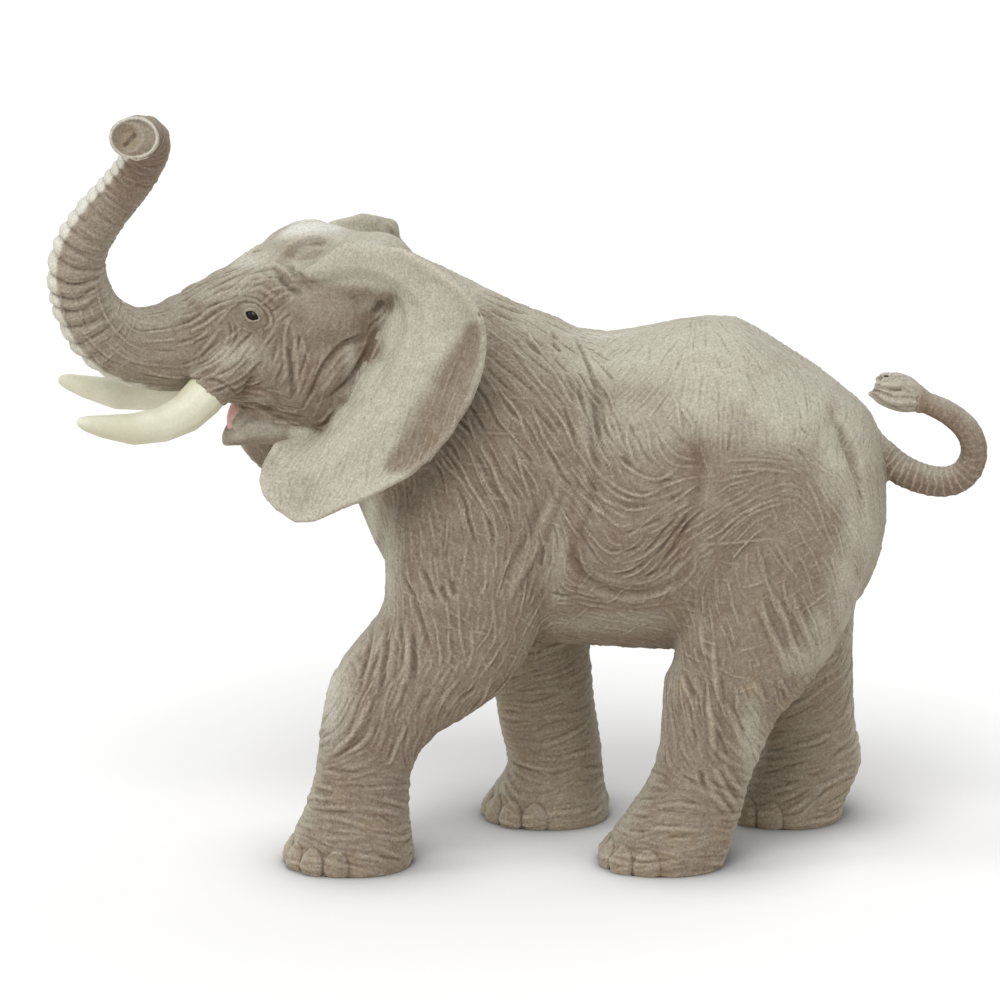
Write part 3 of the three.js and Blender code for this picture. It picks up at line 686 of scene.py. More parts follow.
# The fold over each ear's root comes down and runs out into the temple.
grab(300, 265, 8, -0.6, -3.2, -0.6, of_head=True)
grab(327, 262, 8, 0, -2.6, 0, of_head=True)
for x, y, reach, times in (
    (284, 272, 6, 200), (300, 264, 7, 250), (318, 257, 7, 200), (335, 248, 7, 250), (352, 243, 7, 250),
    (372, 243, 7, 250), (332, 280, 5, 150), (348, 282, 5, 150), (364, 284, 5, 150), (380, 287, 5, 150),
    (297, 424, 5, 100),
):
    calm(x, y, reach, times, of_head=True)
# The ear's front edge lies further over the cheek.
grab(388, 328, 8, -2.2, 0, 0.2, of_head=True)
grab(366, 374, 8, -2.2, 0.3, 0.2, of_head=True)
grab(338, 408, 7, -1.6, 0.6, 0.2, of_head=True)
for x, y in (
    (392, 300), (384, 318), (377, 334), (370, 352), (360, 370), (346, 388), (328, 403), (308, 418), (292, 432)
):
    calm(x, y, 3.6, 60, of_head=True)
# The hind rim of the ear lies near the neck.
for x, y, inward in ((478, 345, 2.4), (472, 395, 3.4), (440, 445, 3.0), (400, 474, 1.8)):
    grab(x, y, 13, 0, 0, -inward, of_head=True, part=ears)
# The far ear's lobe hangs below the jaw, and its top is round.
grab(257, 447, 11, 4.5, -6.5, 0, both=False, part=on("right_ear"))
grab(391, 232, 6, 1.3, 1.5, 0, both=False, part=on("right_ear"))
write_points(skin_mesh, at)
touch_tree = make_touch()
facing = read_normals(skin_mesh)
swell(318, 250, 6, -1.5, of_head=True, long=1.7, slope=-35)  # temple
swell(268, 287, 5, 0.9, of_head=True, long=1.6, slope=20)  # brow
swell(338, 318, 9, 1.4, of_head=True)  # cheek
swell(236, 350, 9, 1.0, of_head=True, long=1.5, slope=55)  # tusk root
swell(300, 318, 4, -0.6, of_head=True)
swell(318, 372, 5, 0.7, of_head=True, long=2, slope=115)
calm(247, 367, 5, 80, of_head=True)
# The chin is shallow, and the lip rounded.
jaw = on("lower_jaw")
grab(258, 440, 7, 0, 1.6, 0, both=False, part=jaw)
grab(230, 442, 5, 0.3, 0.8, 0, both=False, part=jaw)
calm(243, 404, 3, 30, both=False)
for x, y in ((884, 438), (892, 446), (900, 455)):
    calm(x, y, 4, 60, both=False)
# The lobe's rim is round.
for x, y in ((264, 478), (270, 492), (281, 506), (294, 515), (307, 518), (321, 513)):
    calm(x, y, 4.5, 50, of_head=True)
# Shoulder, flank, hip, rump and knees.
swell(528, 430, 15, 1.4, long=1.8, slope=70)
swell(592, 400, 6, -1.0, long=3, slope=78)
swell(579, 430, 5, 0.7, long=4, slope=85)
swell(625, 440, 10, -0.7)
swell(630, 530, 13, 1.1)
swell(698, 455, 7, -0.9, long=2.4, slope=88)
swell(675, 545, 6, -0.8, long=2.2, slope=-50)
swell(778, 520, 14, 0.9)
swell(846, 445, 5, -1.3, long=2.2, slope=62)
swell(735, 376, 6, -0.6, long=2.5, slope=12)
swell(745, 345, 5, 0.4, long=4, slope=22)
swell(352, 672, 6, 0.6, both=False, long=1.5, slope=100)
swell(440, 600, 12, 0.6, both=False)
swell(680, 690, 6, 0.5, both=False, long=1.5, slope=85)
write_points(skin_mesh, at)
touch_tree = make_touch()
facing = read_normals(skin_mesh)


end_pixel = (134, 138)
end_half_width, end_half_height = 5.6 * mm, 4.75 * mm
dish_half_width, dish_half_height = 3.6 * mm, 3.3 * mm
dish_depth, rim_height, dish_rim_height, edge_drop = 0.55 * mm, 0.2 * mm, 0.3 * mm, 0.35 * mm
slot_depth, slot_width = 0.7 * mm, 0.55 * mm


def flatten_end():
    """The trunk's end becomes a flat disc with a rim, a dish and the slot of the nostrils."""
    global at
    offset = at - touch(*end_pixel)
    right, up, depth = offset @ (1, 0, 0), offset @ picture_up, -offset @ sight
    rho = np.hypot(right / end_half_width, up / end_half_height)
    faced = on("trunk") & (rho < 1.0) & (np.abs(depth) < 5 * mm) & (-facing @ sight > 0.15)
    level = np.percentile(depth[faced & (rho < 0.8)], 80)
    dished = np.hypot((right + 1.5 * mm) / dish_half_width, (up - 0.1 * mm) / dish_half_height)
    slot = np.abs(0.69 * (up + 0.5 * mm) - 0.72 * (right + 0.9 * mm))
    slot_end = np.abs(0.72 * (up + 0.5 * mm) + 0.69 * (right + 0.9 * mm))
    target = level - edge_drop * ease(-rho, -0.95, -0.8) + rim_height * hump(rho, 0.93, 0.05)
    target += dish_rim_height * hump(dished, 1, 0.16) - dish_depth * ease(-dished, -0.9, -0.4)
    target -= slot_depth * hump(slot, 0, slot_width) * ease(-slot_end, -2.2 * mm, -1.4 * mm)
    share = ease(-rho, -1.0, -0.94) * faced
    at = at - sight * ((target - depth) * share)[:, None]
    return rho, faced, dished


end_rho, end_faced, end_dish = flatten_end()
write_points(skin_mesh, at)
touch_tree = make_touch()
finder = make_finder(at)
facing = read_normals(skin_mesh)

# ---------------------------------------------------------------- lie of the wrinkles
# Each entry is a pixel of the photograph and the slope of the wrinkles there, in degrees down from level.

body_lie = [
    (500, 320, 20), (490, 375, 42), (535, 345, 50), (575, 350, 65), (560, 390, 58), (520, 420, 60), (480, 430, 55),
    (470, 480, 58), (510, 470, 68), (600, 440, 68), (630, 440, 85), (600, 400, 72), (550, 530, 112), (520, 580, 118),
    (585, 500, 45), (640, 490, 5), (620, 470, 35), (670, 470, -35), (575, 550, 80), (600, 585, 30), (640, 588, 0),
    (670, 560, -50), (690, 520, -55), (660, 545, -45), (680, 415, 60), (720, 350, 5), (780, 370, 30), (720, 430, 20),
    (720, 545, -42), (750, 520, -30), (790, 500, -20), (760, 465, 0), (810, 490, 55), (830, 540, 70), (765, 580, 70),
    (790, 570, 55), (795, 610, 68), (740, 610, 65), (830, 590, 68), (845, 450, 55), (862, 490, 80), (800, 400, 40),
    (860, 540, 75), (840, 620, 60), (690, 660, 75), (710, 640, 80), (730, 680, 80), (690, 720, 85), (720, 720, 65),
    (680, 760, 80), (730, 790, 55), (690, 800, 5), (700, 830, 3), (640, 820, -25), (640, 850, 10), (620, 850, 0),
    (430, 560, 75), (400, 560, 70), (425, 620, 72), (385, 640, 97), (360, 650, 115), (345, 700, 110), (370, 700, 100),
    (345, 740, 130), (330, 765, 160), (385, 770, 35), (400, 740, 95), (430, 680, 105), (480, 660, 112), (500, 640, 112),
    (350, 800, 0), (380, 820, 5), (320, 820, -5), (340, 840, 0), (385, 850, 35), (520, 690, 20), (515, 740, -20),
    (550, 700, 20), (560, 740, 5), (590, 740, 10), (550, 800, 5), (800, 700, 15), (830, 740, 8), (850, 700, 60),
    (800, 760, 8), (770, 770, 30), (810, 800, 5), (390, 530, 75), (600, 345, 10), (650, 340, 0), (640, 400, 60),
    (740, 330, 5), (600, 620, 5), (640, 630, 10),
]
head_lie = [
    (330, 240, 0), (350, 270, 5), (350, 310, 95), (345, 360, 130), (320, 390, 120), (300, 360, 85), (270, 270, 20),
    (300, 260, 0), (270, 240, -35), (240, 270, -45), (225, 300, -42), (212, 340, -40), (240, 335, -60), (230, 370, -25),
    (280, 420, 30), (260, 410, 10), (250, 350, 60),
]
ear_lie = [
    (430, 300, 85), (440, 350, 95), (430, 400, 110), (400, 440, 115), (340, 470, 105), (300, 490, 100),
    (390, 300, 100), (400, 350, 105), (360, 430, 110),
]
lie_reach = 9 * mm


def lie_angle(anchors, points):
    """The slope at each point, blended from the anchors round it."""
    places = [(touch(x, y), math.radians(slope)) for x, y, slope in anchors]
    total = np.zeros((len(points), 2))
    flat = points[:, [0, 2]].astype(np.float32)
    for place, slope in places:
        if place is None:
            continue
        gap = flat - place[[0, 2]].astype(np.float32)
        share = np.exp(-(gap**2).sum(1) / (2 * lie_reach**2)) + 1e-9 / (1e-6 + (gap**2).sum(1))
        total += share[:, None] * (math.cos(2 * slope), math.sin(2 * slope))
    return 0.5 * np.arctan2(total[:, 1], total[:, 0])


head_part = on("head", "lower_jaw", "left_ear", "right_ear")
beyond_middle = np.where(head_part, (at - head_pivot) @ head_left < 0, at[:, 1] > body_middle)
away_from_middle = np.where(beyond_middle, -1, 1)
as_near = at.copy()  # where each point would lie on the near side
for part, of_head in ((head_part, True), (~head_part, False)):
    as_near[beyond_middle & part] = mirrored(at[beyond_middle & part], of_head)


def skin_ways():
    """The way that the wrinkles run at each point."""
    slope = np.zeros(len(at))
    for anchors, part in ((body_lie, ~head_part), (head_lie, face_part), (ear_lie, ears)):
        slope[part] = lie_angle(anchors, as_near[part])
    sign = away_from_middle[:, None]
    level = np.array((1.0, 0, 0)) - facing * facing[:, :1]
    round_it = unit(np.cross((0, 0, 1), facing) + 0.35 * sign * level)
    rise = np.cross(facing, round_it)
    way = sign * np.cos(slope)[:, None] * round_it - np.sin(slope)[:, None] * rise
    return unit(way)


ways = skin_ways()
trunk_part, tail_part = on("trunk"), on("tail")
limb = {}
for name, part, line_points, left in (
    ("trunk", trunk_part, trunk_points, head_left),
    ("tail", tail_part, tail_points, np.array((0, -1, 0))),
):
    limb[name] = follow(line_points, at[part], left)
    ways[part] = unit(np.cross(limb[name][2], facing[part]))
# The wrinkles wander a little, each with its neighbours.
meander = (0.3 * grit(at, 6 * mm, 51) + 0.2 * grit(at, 2.6 * mm, 52)) * ~(trunk_part | tail_part)
ways = unit(ways * np.cos(meander)[:, None] + np.cross(facing, ways) * np.sin(meander)[:, None])
soft_raised, soft_cut = np.zeros(len(at)), np.zeros(len(at))  # folds that take no paint of their own


stride = 0.4 * mm
wider_ring = neighbours[neighbours].reshape(len(at), -1)


def walk(starts, halves, swerves):
    """Lines on the skin that follow its lie both ways from their starts: their places, and the points near these."""
    places, nearest = [], []
    for sense in (1, -1):
        place, k, heading = at[starts].copy(), starts.copy(), None
        for _ in range(int(halves.max() / stride)):
            way = ways[k] * np.cos(swerves)[:, None] + np.cross(facing[k], ways[k]) * np.sin(swerves)[:, None]
            if heading is None:
                heading = way * sense
            way = np.where(((way * heading).sum(1) < 0)[:, None], -way, way)
            heading = way
            place = place + way * stride
            for _ in range(2):
                options = neighbours[k]
                gap = ((at[options] - place[:, None]) ** 2).sum(2)
                best = gap.argmin(1)
                better = gap.min(1) < ((at[k] - place) ** 2).sum(1)
                k = np.where(better, options[np.arange(len(k)), best], k)
            place = place - facing[k] * ((place - at[k]) * facing[k]).sum(1)[:, None]
            places.append(place)
            nearest.append(k)
    places.append(at[starts])
    nearest.append(starts)
    return np.array(places), np.array(nearest)


grid_cell, grid_margin = 0.6 * mm, 6 * mm
grid_low = at.min(0) - grid_margin
grid_shape = np.ceil((at.max(0) + grid_margin - grid_low) / grid_cell).astype(int)
batch = 60000  # places pressed at a time


def hatch(part, spacing, length, width, height, seed, swerve=0.12, across=0.0, apart=0.8, painted=True):
    """Lines along the lie of a part of the skin, or turned from it, that keep their distance from each other."""
    rng = np.random.default_rng(seed)
    candidates = rng.permutation(np.nonzero(part)[0])
    cell = np.floor(at[candidates] / (0.7 * spacing * mm) + rng.random(3)).astype(np.int64)
    key = cell @ np.array((73856093, 19349663, 83492791))
    starts = rng.permutation(candidates[np.unique(key, return_index=True)[1]])
    halves = rng.uniform(0.25, 0.75, len(starts)) * length * mm
    places, nearest = walk(starts, halves, across + rng.normal(0, swerve, len(starts)))
    steps = (len(places) - 1) // 2
    column, layer_size = grid_shape[2], grid_shape[1] * grid_shape[2]
    flat = np.floor((places - grid_low) / grid_cell).astype(np.int64) @ np.array((layer_size, column, 1))
    reach = int(spacing * apart * mm / grid_cell)
    ball = np.mgrid[-reach : reach + 1, -reach : reach + 1, -reach : reach + 1].reshape(3, -1)
    ball = np.array((layer_size, column, 1)) @ ball[:, (ball**2).sum(0) <= reach**2]
    taken = np.zeros(int(grid_shape.prod()), bool)
    fade = np.zeros(flat.shape)
    for line in range(len(starts)):
        if taken[flat[-1, line]]:
            continue
        rows, shares, allowed = [[2 * steps]], [[1.0]], int(halves[line] / stride)
        for first in (0, steps):
            cells = slice(first, first + allowed)
            stopped = taken[flat[cells, line]] | ~part[nearest[cells, line]]
            run = int(stopped.argmax()) if stopped.any() else allowed
            rows.append(np.arange(first, first + run))
            shares.append(np.minimum(1, (run - np.arange(run)) / (0.5 * run + 1)))
        rows, shares = np.concatenate(rows), np.concatenate(shares)
        if len(rows) * stride < 0.35 * length * mm:
            continue
        fade[rows, line] = shares * rng.uniform(0.45, 1.15) * abs(height) * mm
        taken[(flat[rows[::2], line][:, None] + ball).ravel()] = True
    kept = fade > 0
    places, nearest, fade = places[kept], nearest[kept], fade[kept]
    target = (raised if height > 0 else cut) if painted else (soft_raised if height > 0 else soft_cut)
    for first in range(0, len(fade), batch):
        some = slice(first, first + batch)
        ring = wider_ring[nearest[some]]
        gap = ((at[ring] - places[some][:, None]) ** 2).sum(2) / (width * mm) ** 2
        np.maximum.at(target, ring, fade[some][:, None] * np.clip(1 - gap, 0, 1) ** 2)


# ---------------------------------------------------------------- folds read from the photograph

shoulder_creases = [
    [(479, 314), (488, 318), (500, 322), (512, 326), (520, 328)],
    [(481, 368), (488, 375), (494, 380), (500, 386)],
    [(528, 341), (534, 348), (541, 355)],
    [(552, 332), (560, 341)],
    [(553, 343), (562, 352)],
    [(575, 335), (582, 350), (589, 365), (594, 380), (597, 395)],
    [(578, 380), (581, 400), (587, 420)],
    [(593, 400), (597, 420), (600, 440), (608, 458)],
    [(622, 457), (632, 467)],
]
shoulder_ridges = [
    [(520, 325), (528, 333), (535, 343), (543, 352)],
    [(530, 345), (540, 358), (552, 370), (562, 385), (572, 400)],
    [(510, 345), (520, 355), (530, 362)],
    [(520, 360), (532, 372), (545, 388), (560, 395)],
    [(543, 395), (552, 408), (560, 418), (567, 430), (573, 445), (577, 460)],
    [(560, 385), (568, 398), (575, 410)],
    [(497, 383), (503, 395), (510, 402), (517, 412), (521, 420), (524, 432), (527, 445)],
    [(530, 402), (535, 415), (541, 430), (545, 445)],
    [(472, 395), (480, 408), (490, 420), (500, 430), (512, 440), (520, 446)],
    [(466, 412), (470, 425), (474, 437), (478, 448)],
    [(453, 430), (462, 437), (470, 444), (476, 449)],
    [(476, 436), (484, 452), (492, 466), (498, 480), (505, 492)],
    [(446, 446), (455, 458), (463, 470), (470, 485), (478, 497), (490, 518), (498, 535)],
    [(438, 452), (446, 465), (455, 475), (468, 488)],
    [(490, 460), (496, 478), (505, 495), (515, 510)],
    [(515, 450), (521, 470), (526, 485), (529, 498)],
    [(480, 470), (487, 485), (495, 498)],
    [(605, 410), (608, 425), (615, 440)],
    [(612, 415), (617, 430), (622, 445)],
    [(628, 425), (627, 440), (632, 455), (634, 465)],
    [(597, 440), (603, 455), (612, 468)],
]
flank_folds = [
    [(585, 440), (590, 460), (600, 475), (612, 485)],
    [(600, 478), (612, 492), (628, 500), (645, 500)],
    [(617, 455), (625, 465), (640, 475), (655, 480), (668, 475), (678, 467)],
    [(600, 470), (608, 480), (622, 490), (640, 496), (655, 492), (668, 484)],
    [(592, 490), (605, 500), (620, 508)],
    [(585, 495), (598, 510), (615, 522)],
    [(672, 390), (677, 405), (680, 425), (680, 435)],
    [(680, 405), (690, 420), (696, 430)],
]
belly_rim = [
    (568, 520), (568, 545), (573, 560), (582, 575), (595, 585), (610, 591), (630, 592), (650, 590), (668, 580),
]
belly_creases = [
    [(645, 577), (655, 572), (661, 567)],
    [(668, 572), (676, 563), (683, 557)],
    [(650, 560), (662, 548), (672, 535), (683, 522), (690, 510)],
    [(660, 565), (672, 550), (682, 535), (690, 520)],
    [(640, 555), (652, 545), (665, 530), (680, 515)],
    [(548, 592), (560, 595), (575, 596)],
]
thigh_ridges = [
    [(705, 560), (730, 530), (760, 510), (800, 500)],
    [(742, 515), (760, 505), (780, 498)],
    [(725, 461), (755, 460), (790, 463)],
    [(735, 470), (765, 469), (795, 474)],
    [(800, 470), (812, 490), (820, 510), (826, 530), (835, 550), (840, 565)],
    [(700, 545), (730, 543), (760, 540), (778, 541)],
    [(758, 553), (762, 570), (770, 590), (775, 605)],
    [(775, 542), (785, 560), (795, 575), (800, 582)],
    [(785, 590), (790, 605), (797, 620), (803, 635)],
    [(760, 595), (765, 612), (770, 625)],
    [(820, 555), (830, 570), (836, 590), (840, 605)],
    [(728, 595), (735, 612), (740, 625)],
    [(800, 612), (815, 602), (830, 590)],
]
rump_creases = [
    [(795, 445), (803, 455), (808, 463)],
    [(860, 485), (863, 500)],
    [(800, 427), (808, 434)],
]
leg_creases = [
    [(422, 568), (428, 582), (432, 592), (437, 600)],
    [(440, 585), (444, 595), (450, 605)],
    [(450, 580), (456, 595)],
    [(400, 570), (408, 585), (414, 598), (418, 612), (424, 630), (428, 645), (432, 653)],
    [(375, 615), (370, 640), (365, 665), (360, 690)],
    [(388, 622), (386, 650), (382, 680), (380, 700)],
    [(400, 622), (403, 645), (402, 670)],
    [(413, 630), (414, 650), (415, 680)],
    [(460, 700), (475, 688)],
    [(700, 770), (704, 785), (712, 795)],
    [(683, 672), (690, 688), (698, 700)],
]
leg_ridges = [
    [(372, 690), (365, 710), (355, 730), (340, 748), (322, 762)],
    [(380, 640), (370, 665), (362, 690)],
    [(395, 625), (393, 655), (388, 685)],
    [(408, 625), (408, 655), (404, 690)],
    [(350, 655), (358, 665), (362, 680)],
    [(770, 590), (785, 620), (795, 650), (810, 660)],
    [(757, 600), (768, 625), (782, 655), (790, 678)],
    [(790, 590), (803, 625), (815, 655)],
    [(712, 640), (715, 670), (720, 700)],
    [(703, 690), (712, 730), (712, 760)],
    [(725, 705), (735, 725), (740, 745)],
    [(715, 770), (725, 790), (738, 812)],
    [(703, 785), (715, 797), (733, 818)],
    [(722, 765), (732, 780), (742, 800)],
    [(700, 620), (705, 650), (718, 658)],
]
face_creases = [
    [(277, 270), (283, 280), (292, 288), (303, 292)],
    [(386, 308), (380, 316), (372, 325), (367, 335)],
    [(371, 343), (365, 353), (358, 365), (350, 378), (338, 390), (325, 399)],
    [(362, 334), (352, 339), (340, 343)],
    [(335, 350), (325, 362), (317, 378), (311, 392), (305, 401)],
    [(285, 345), (290, 360), (292, 400)],
    [(200, 380), (215, 380), (230, 388), (240, 397)],
    [(222, 378), (235, 370), (245, 360)],
    [(230, 375), (247, 362)],
    [(228, 320), (231, 335), (226, 345)],
    [(233, 318), (236, 335), (230, 350)],
    [(240, 300), (250, 290), (262, 283)],
]
wide_folds = [
    (2.4, 0.8, [(574, 352), (580, 390), (583, 430), (586, 470), (583, 500), (572, 530), (560, 560), (552, 585)]),
    (2.4, -0.85, [(590, 358), (596, 385), (600, 415), (606, 445)]),
    (1.8, 0.4, [(560, 480), (548, 510), (535, 545), (518, 580), (500, 610), (487, 625)]),
    (1.8, -0.45, [(545, 480), (536, 510), (522, 545), (505, 578), (488, 605)]),
    (2.6, -0.5, [(697, 425), (700, 455), (700, 485), (692, 515), (676, 545), (660, 568)]),
    (2.2, -0.9, [(826, 402), (836, 420), (845, 440), (853, 462), (859, 485), (862, 505)]),
    (1.6, 0.35, [(838, 412), (848, 430), (857, 450), (864, 475), (867, 495)]),
    (2.0, 0.35, [(700, 328), (740, 332), (780, 352), (820, 382), (850, 408)]),
    (2.2, -0.35, [(700, 358), (735, 368), (770, 385)]),
    (1.6, -0.5, [(600, 588), (630, 596), (665, 588), (690, 570)]),
    (1.8, -0.5, [(395, 630), (393, 660), (386, 690)]),
    (1.6, 0.4, [(383, 632), (380, 660), (372, 690)]),
    (1.6, 0.35, [(405, 632), (404, 662), (400, 690)]),
    (1.6, 0.35, [(372, 690), (365, 712), (352, 735), (336, 752)]),
    (1.8, 0.4, [(714, 650), (716, 690), (713, 730), (716, 760)]),
    (1.8, -0.4, [(700, 665), (702, 700), (700, 735)]),
    *[(1.3, 0.65, line) for line in leg_ridges],
    *[(1.1, -0.75, line) for line in leg_creases],
    (2.4, -0.95, belly_rim),
    (1.8, 0.6, [(560, 480), (556, 495), (550, 510), (543, 530), (535, 550), (524, 568), (512, 590)]),
    (1.5, 0.45, [(548, 500), (538, 525), (527, 548), (512, 575)]),
]
wide_face_folds = [
    (1.6, -1.0, [(390, 304), (383, 318), (376, 332), (369, 350), (359, 368), (346, 385), (328, 399)]),
    (1.5, -0.9, [(372, 336), (355, 341), (341, 347), (330, 360), (320, 376), (312, 394)]),
    (1.9, 0.6, [(361, 350), (346, 366), (332, 383), (319, 399)]),
    (1.3, -0.8, [(274, 268), (281, 279), (291, 288), (303, 294)]),
    (1.2, 0.55, [(282, 266), (290, 276), (300, 284)]),
    (1.2, -0.6, [(288, 263), (296, 272), (305, 279)]),
    (1.3, 0.6, [(238, 290), (246, 281), (257, 276), (268, 280)]),
    (1.3, 0.55, [(268, 268), (281, 252), (297, 240), (315, 234), (332, 236), (340, 243)]),
    (1.8, -0.7, [(284, 262), (293, 251), (306, 244), (321, 242), (333, 247)]),
    (1.6, -0.45, [(288, 343), (291, 365), (292, 395)]),
    (1.6, 0.4, [(299, 335), (302, 362), (303, 392)]),
    (1.5, 0.5, [(247, 397), (258, 392), (268, 396), (274, 404)]),
    (1.4, -0.5, [(243, 404), (254, 403), (266, 408), (280, 413)]),
    (1.6, -0.5, [(263, 350), (257, 368), (246, 386), (240, 396)]),
    (1.4, -0.4, [(283, 330), (276, 345), (268, 360), (262, 374)]),
    (1.0, 0.45, [(355, 350), (340, 365), (325, 385), (318, 398)]),
    (1.0, 0.45, [(293, 330), (296, 350), (297, 375), (300, 400)]),
    (1.0, 0.45, [(262, 270), (275, 265), (285, 272), (295, 280)]),
    (1.0, 0.45, [(238, 305), (245, 294), (258, 288), (270, 294), (280, 305)]),
    (1.0, 0.45, [(241, 325), (250, 329), (262, 328), (272, 323)]),
]

for lines, width, height, of_head in (
    (shoulder_creases, 1.0, -0.65, False),
    (shoulder_ridges, 0.65, 0.45, False),
    (flank_folds, 0.75, 0.4, False),
    (belly_creases, 0.8, -0.45, False),
    (thigh_ridges, 0.65, 0.3, False),
    (rump_creases, 0.7, -0.3, False),
    (face_creases, 0.7, -0.4, True),
):
    for line in lines:
        draw(line, width, height, of_head=of_head)
# The wide folds add up where they cross, and take no paint of their own.
drawn_fold = np.zeros(len(at))
painted_lines = raised, cut
for folds, of_head in ((wide_folds, False), (wide_face_folds, True)):
    for width, height, line in folds:
        raised, cut = np.zeros(len(at)), np.zeros(len(at))
        draw(line, width, height, of_head=of_head)
        drawn_fold += raised - cut
raised, cut = painted_lines

# ---------------------------------------------------------------- wrinkles all over

pixels = in_picture(as_near)


def zone(x, y, across, down):
    """A soft oval of the photograph, 1 in its middle and 0 outside it."""
    gap = (((pixels - (x, y)) / (across, down)) ** 2).sum(1)
    return np.clip(1.6 - gap, 0, 1)


legs = on("front_left_leg", "front_right_leg", "rear_left_leg", "rear_right_leg")
torso = on("torso_left_shell", "torso_right_shell")
head = on("head")
shoulder = torso & (zone(525, 420, 78, 125) > 0.2)
thigh = torso & (zone(785, 565, 75, 105) > 0.2)
flank = torso & (zone(640, 500, 62, 80) > 0.5)
upper_leg = (torso & (zone(470, 590, 90, 70) > 0.2)) | (legs & (at[:, 2] > 36 * mm))
back = torso & ~shoulder & ~thigh & ~flank & (at[:, 2] > 95 * mm)
plain = torso & ~shoulder & ~thigh & ~flank & ~back
low_ear = ears & (at[:, 2] < 122 * mm)
low_thigh = thigh & (zone(790, 590, 62, 72) > 0.2)
smooth_face = (zone(343, 312, 44, 32) > 0.2) | (zone(335, 248, 62, 26) > 0.2) | (zone(345, 372, 22, 34) > 0.2)
hatch(shoulder, 1.9, 24, 0.5, 0.42, 1, swerve=0.06)
hatch(shoulder, 4.4, 10, 0.5, 0.2, 2, swerve=0.2, across=0.75)
hatch(shoulder, 3.0, 16, 0.8, -0.5, 3, swerve=0.06, painted=False)
hatch(flank, 1.8, 16, 0.5, 0.28, 4)
hatch(flank, 3.4, 12, 0.7, -0.3, 5, painted=False)
hatch(thigh & ~low_thigh, 2.2, 22, 0.5, 0.26, 6, swerve=0.06)
hatch(thigh & ~low_thigh, 1.4, 10, 0.5, 0.14, 21, swerve=0.1, painted=False)
hatch(low_thigh, 2.6, 18, 0.5, 0.36, 22, swerve=0.06)
hatch(low_thigh, 3.6, 8, 0.5, 0.17, 7, swerve=0.1, across=1.5)
hatch(back, 1.3, 14, 0.45, 0.17, 8, swerve=0.05, across=-1.25)
hatch(back, 2.6, 12, 0.6, -0.14, 9, across=-1.15, painted=False)
hatch(plain, 2.2, 14, 0.7, 0.24, 10, painted=False)
hatch(plain, 3.6, 9, 0.5, 0.2, 11, across=0.9, swerve=0.3)
hatch(legs, 2.3, 16, 1.1, 0.38, 12, swerve=0.1, painted=False)
hatch(legs, 1.3, 8, 0.6, 0.16, 13, painted=False)
hatch(legs, 3.0, 12, 0.7, -0.26, 14, swerve=0.1, painted=False)
hatch(upper_leg, 2.4, 14, 0.5, 0.32, 15)
hatch(upper_leg, 4.6, 9, 0.5, 0.18, 19, across=0.9, swerve=0.3)
hatch(head & ~smooth_face, 2.0, 12, 0.8, 0.36, 16, painted=False)
hatch(head & ~smooth_face, 2.6, 10, 0.6, -0.36, 17, painted=False)
hatch(head & smooth_face, 1.5, 8, 0.6, 0.08, 23, painted=False)
hatch(ears, 1.3, 18, 0.5, 0.09, 18, swerve=0.05)
hatch(low_ear, 2.2, 22, 0.5, 0.21, 20, swerve=0.05)
draw([(383, 221), (390, 225), (394, 232), (395, 239), (391, 246)], 0.9, 0.5, far_side=False)

# ---------------------------------------------------------------- trunk and tail rings


def ring_count(along, length, spacings):
    """How many rings lie before each place, when their spacing in mm changes evenly from root to tip."""
    run = np.linspace(0, length, 400)
    spacing = np.interp(run / length, np.linspace(0, 1, len(spacings)), spacings) * mm
    count = np.concatenate([[0], np.cumsum(length / 399 / spacing[1:])])
    return np.interp(along, run, count)


def bumps(count):
    """Round bumps with sharp valleys between them."""
    return np.abs(np.sin(math.pi * count))


def thin_ridges(count, width):
    """Narrow ridges with flat skin between them."""
    return hump(count % 1, 0.5, width)


lift = np.zeros(len(at))
along, around, trunk_ahead = limb["trunk"]
trunk_length = along.max()
trunk_share = along / trunk_length
under = np.cos(around)
wobble = 0.3 * grit(at[trunk_part], 5 * mm, 21)
rings = ring_count(along, trunk_length, (3.8, 3.8, 3.5, 3.2, 2.8, 2.5))
started_rings = ease(trunk_share, 0.14, 0.26)
scallop = bumps(rings + 0.3 * wobble)
bend = hump(trunk_share, 0.44, 0.13)
lift[trunk_part] += mm * (
    0.4 * started_rings * ease(under, 0.45, 0.85) * (scallop - 0.6)
    + (0.08 + 0.7 * bend) * started_rings * ease(under, -0.9, 0.1) * (bumps(rings + wobble) - 0.6)
) * (1 - end_faced[trunk_part])
ring_line = thin_ridges(rings + wobble, 0.11) * (under < 0.72) * (
    0.75 * bend + 0.65 * ease(trunk_share, 0.15, 0.22) * ease(-trunk_share, -0.42, -0.34)
)
ring_line *= 0.6 + 0.5 * grit(at[trunk_part], 3 * mm, 24)
lift[trunk_part] += 0.12 * mm * ring_line
trunk_rings = trunk_part.copy()
trunk_rings[trunk_part] = (under < 0.7) & (trunk_share > 0.26)
trunk_rings &= ~end_faced
hatch(trunk_rings, 1.9, 10, 0.5, 0.2, 31, swerve=0.06)
hatch(trunk_rings, 2.6, 8, 0.5, -0.22, 33, swerve=0.08)
nose = (head | trunk_part) & (zone(213, 328, 34, 60) > 0.3)
ahead = np.zeros((len(at), 3))
ahead[trunk_part] = trunk_ahead
nose_root = nose & trunk_part
ways[nose_root] = unit(ahead[nose_root] - (ahead[nose_root] * facing[nose_root]).sum(1)[:, None] * facing[nose_root])
low_trunk = trunk_part & ~nose
low_trunk[trunk_part] &= (trunk_share < 0.45) & (trunk_share > 0.1)
hatch(low_trunk, 2.6, 16, 0.5, 0.42, 32, swerve=0.08, across=math.pi / 2)
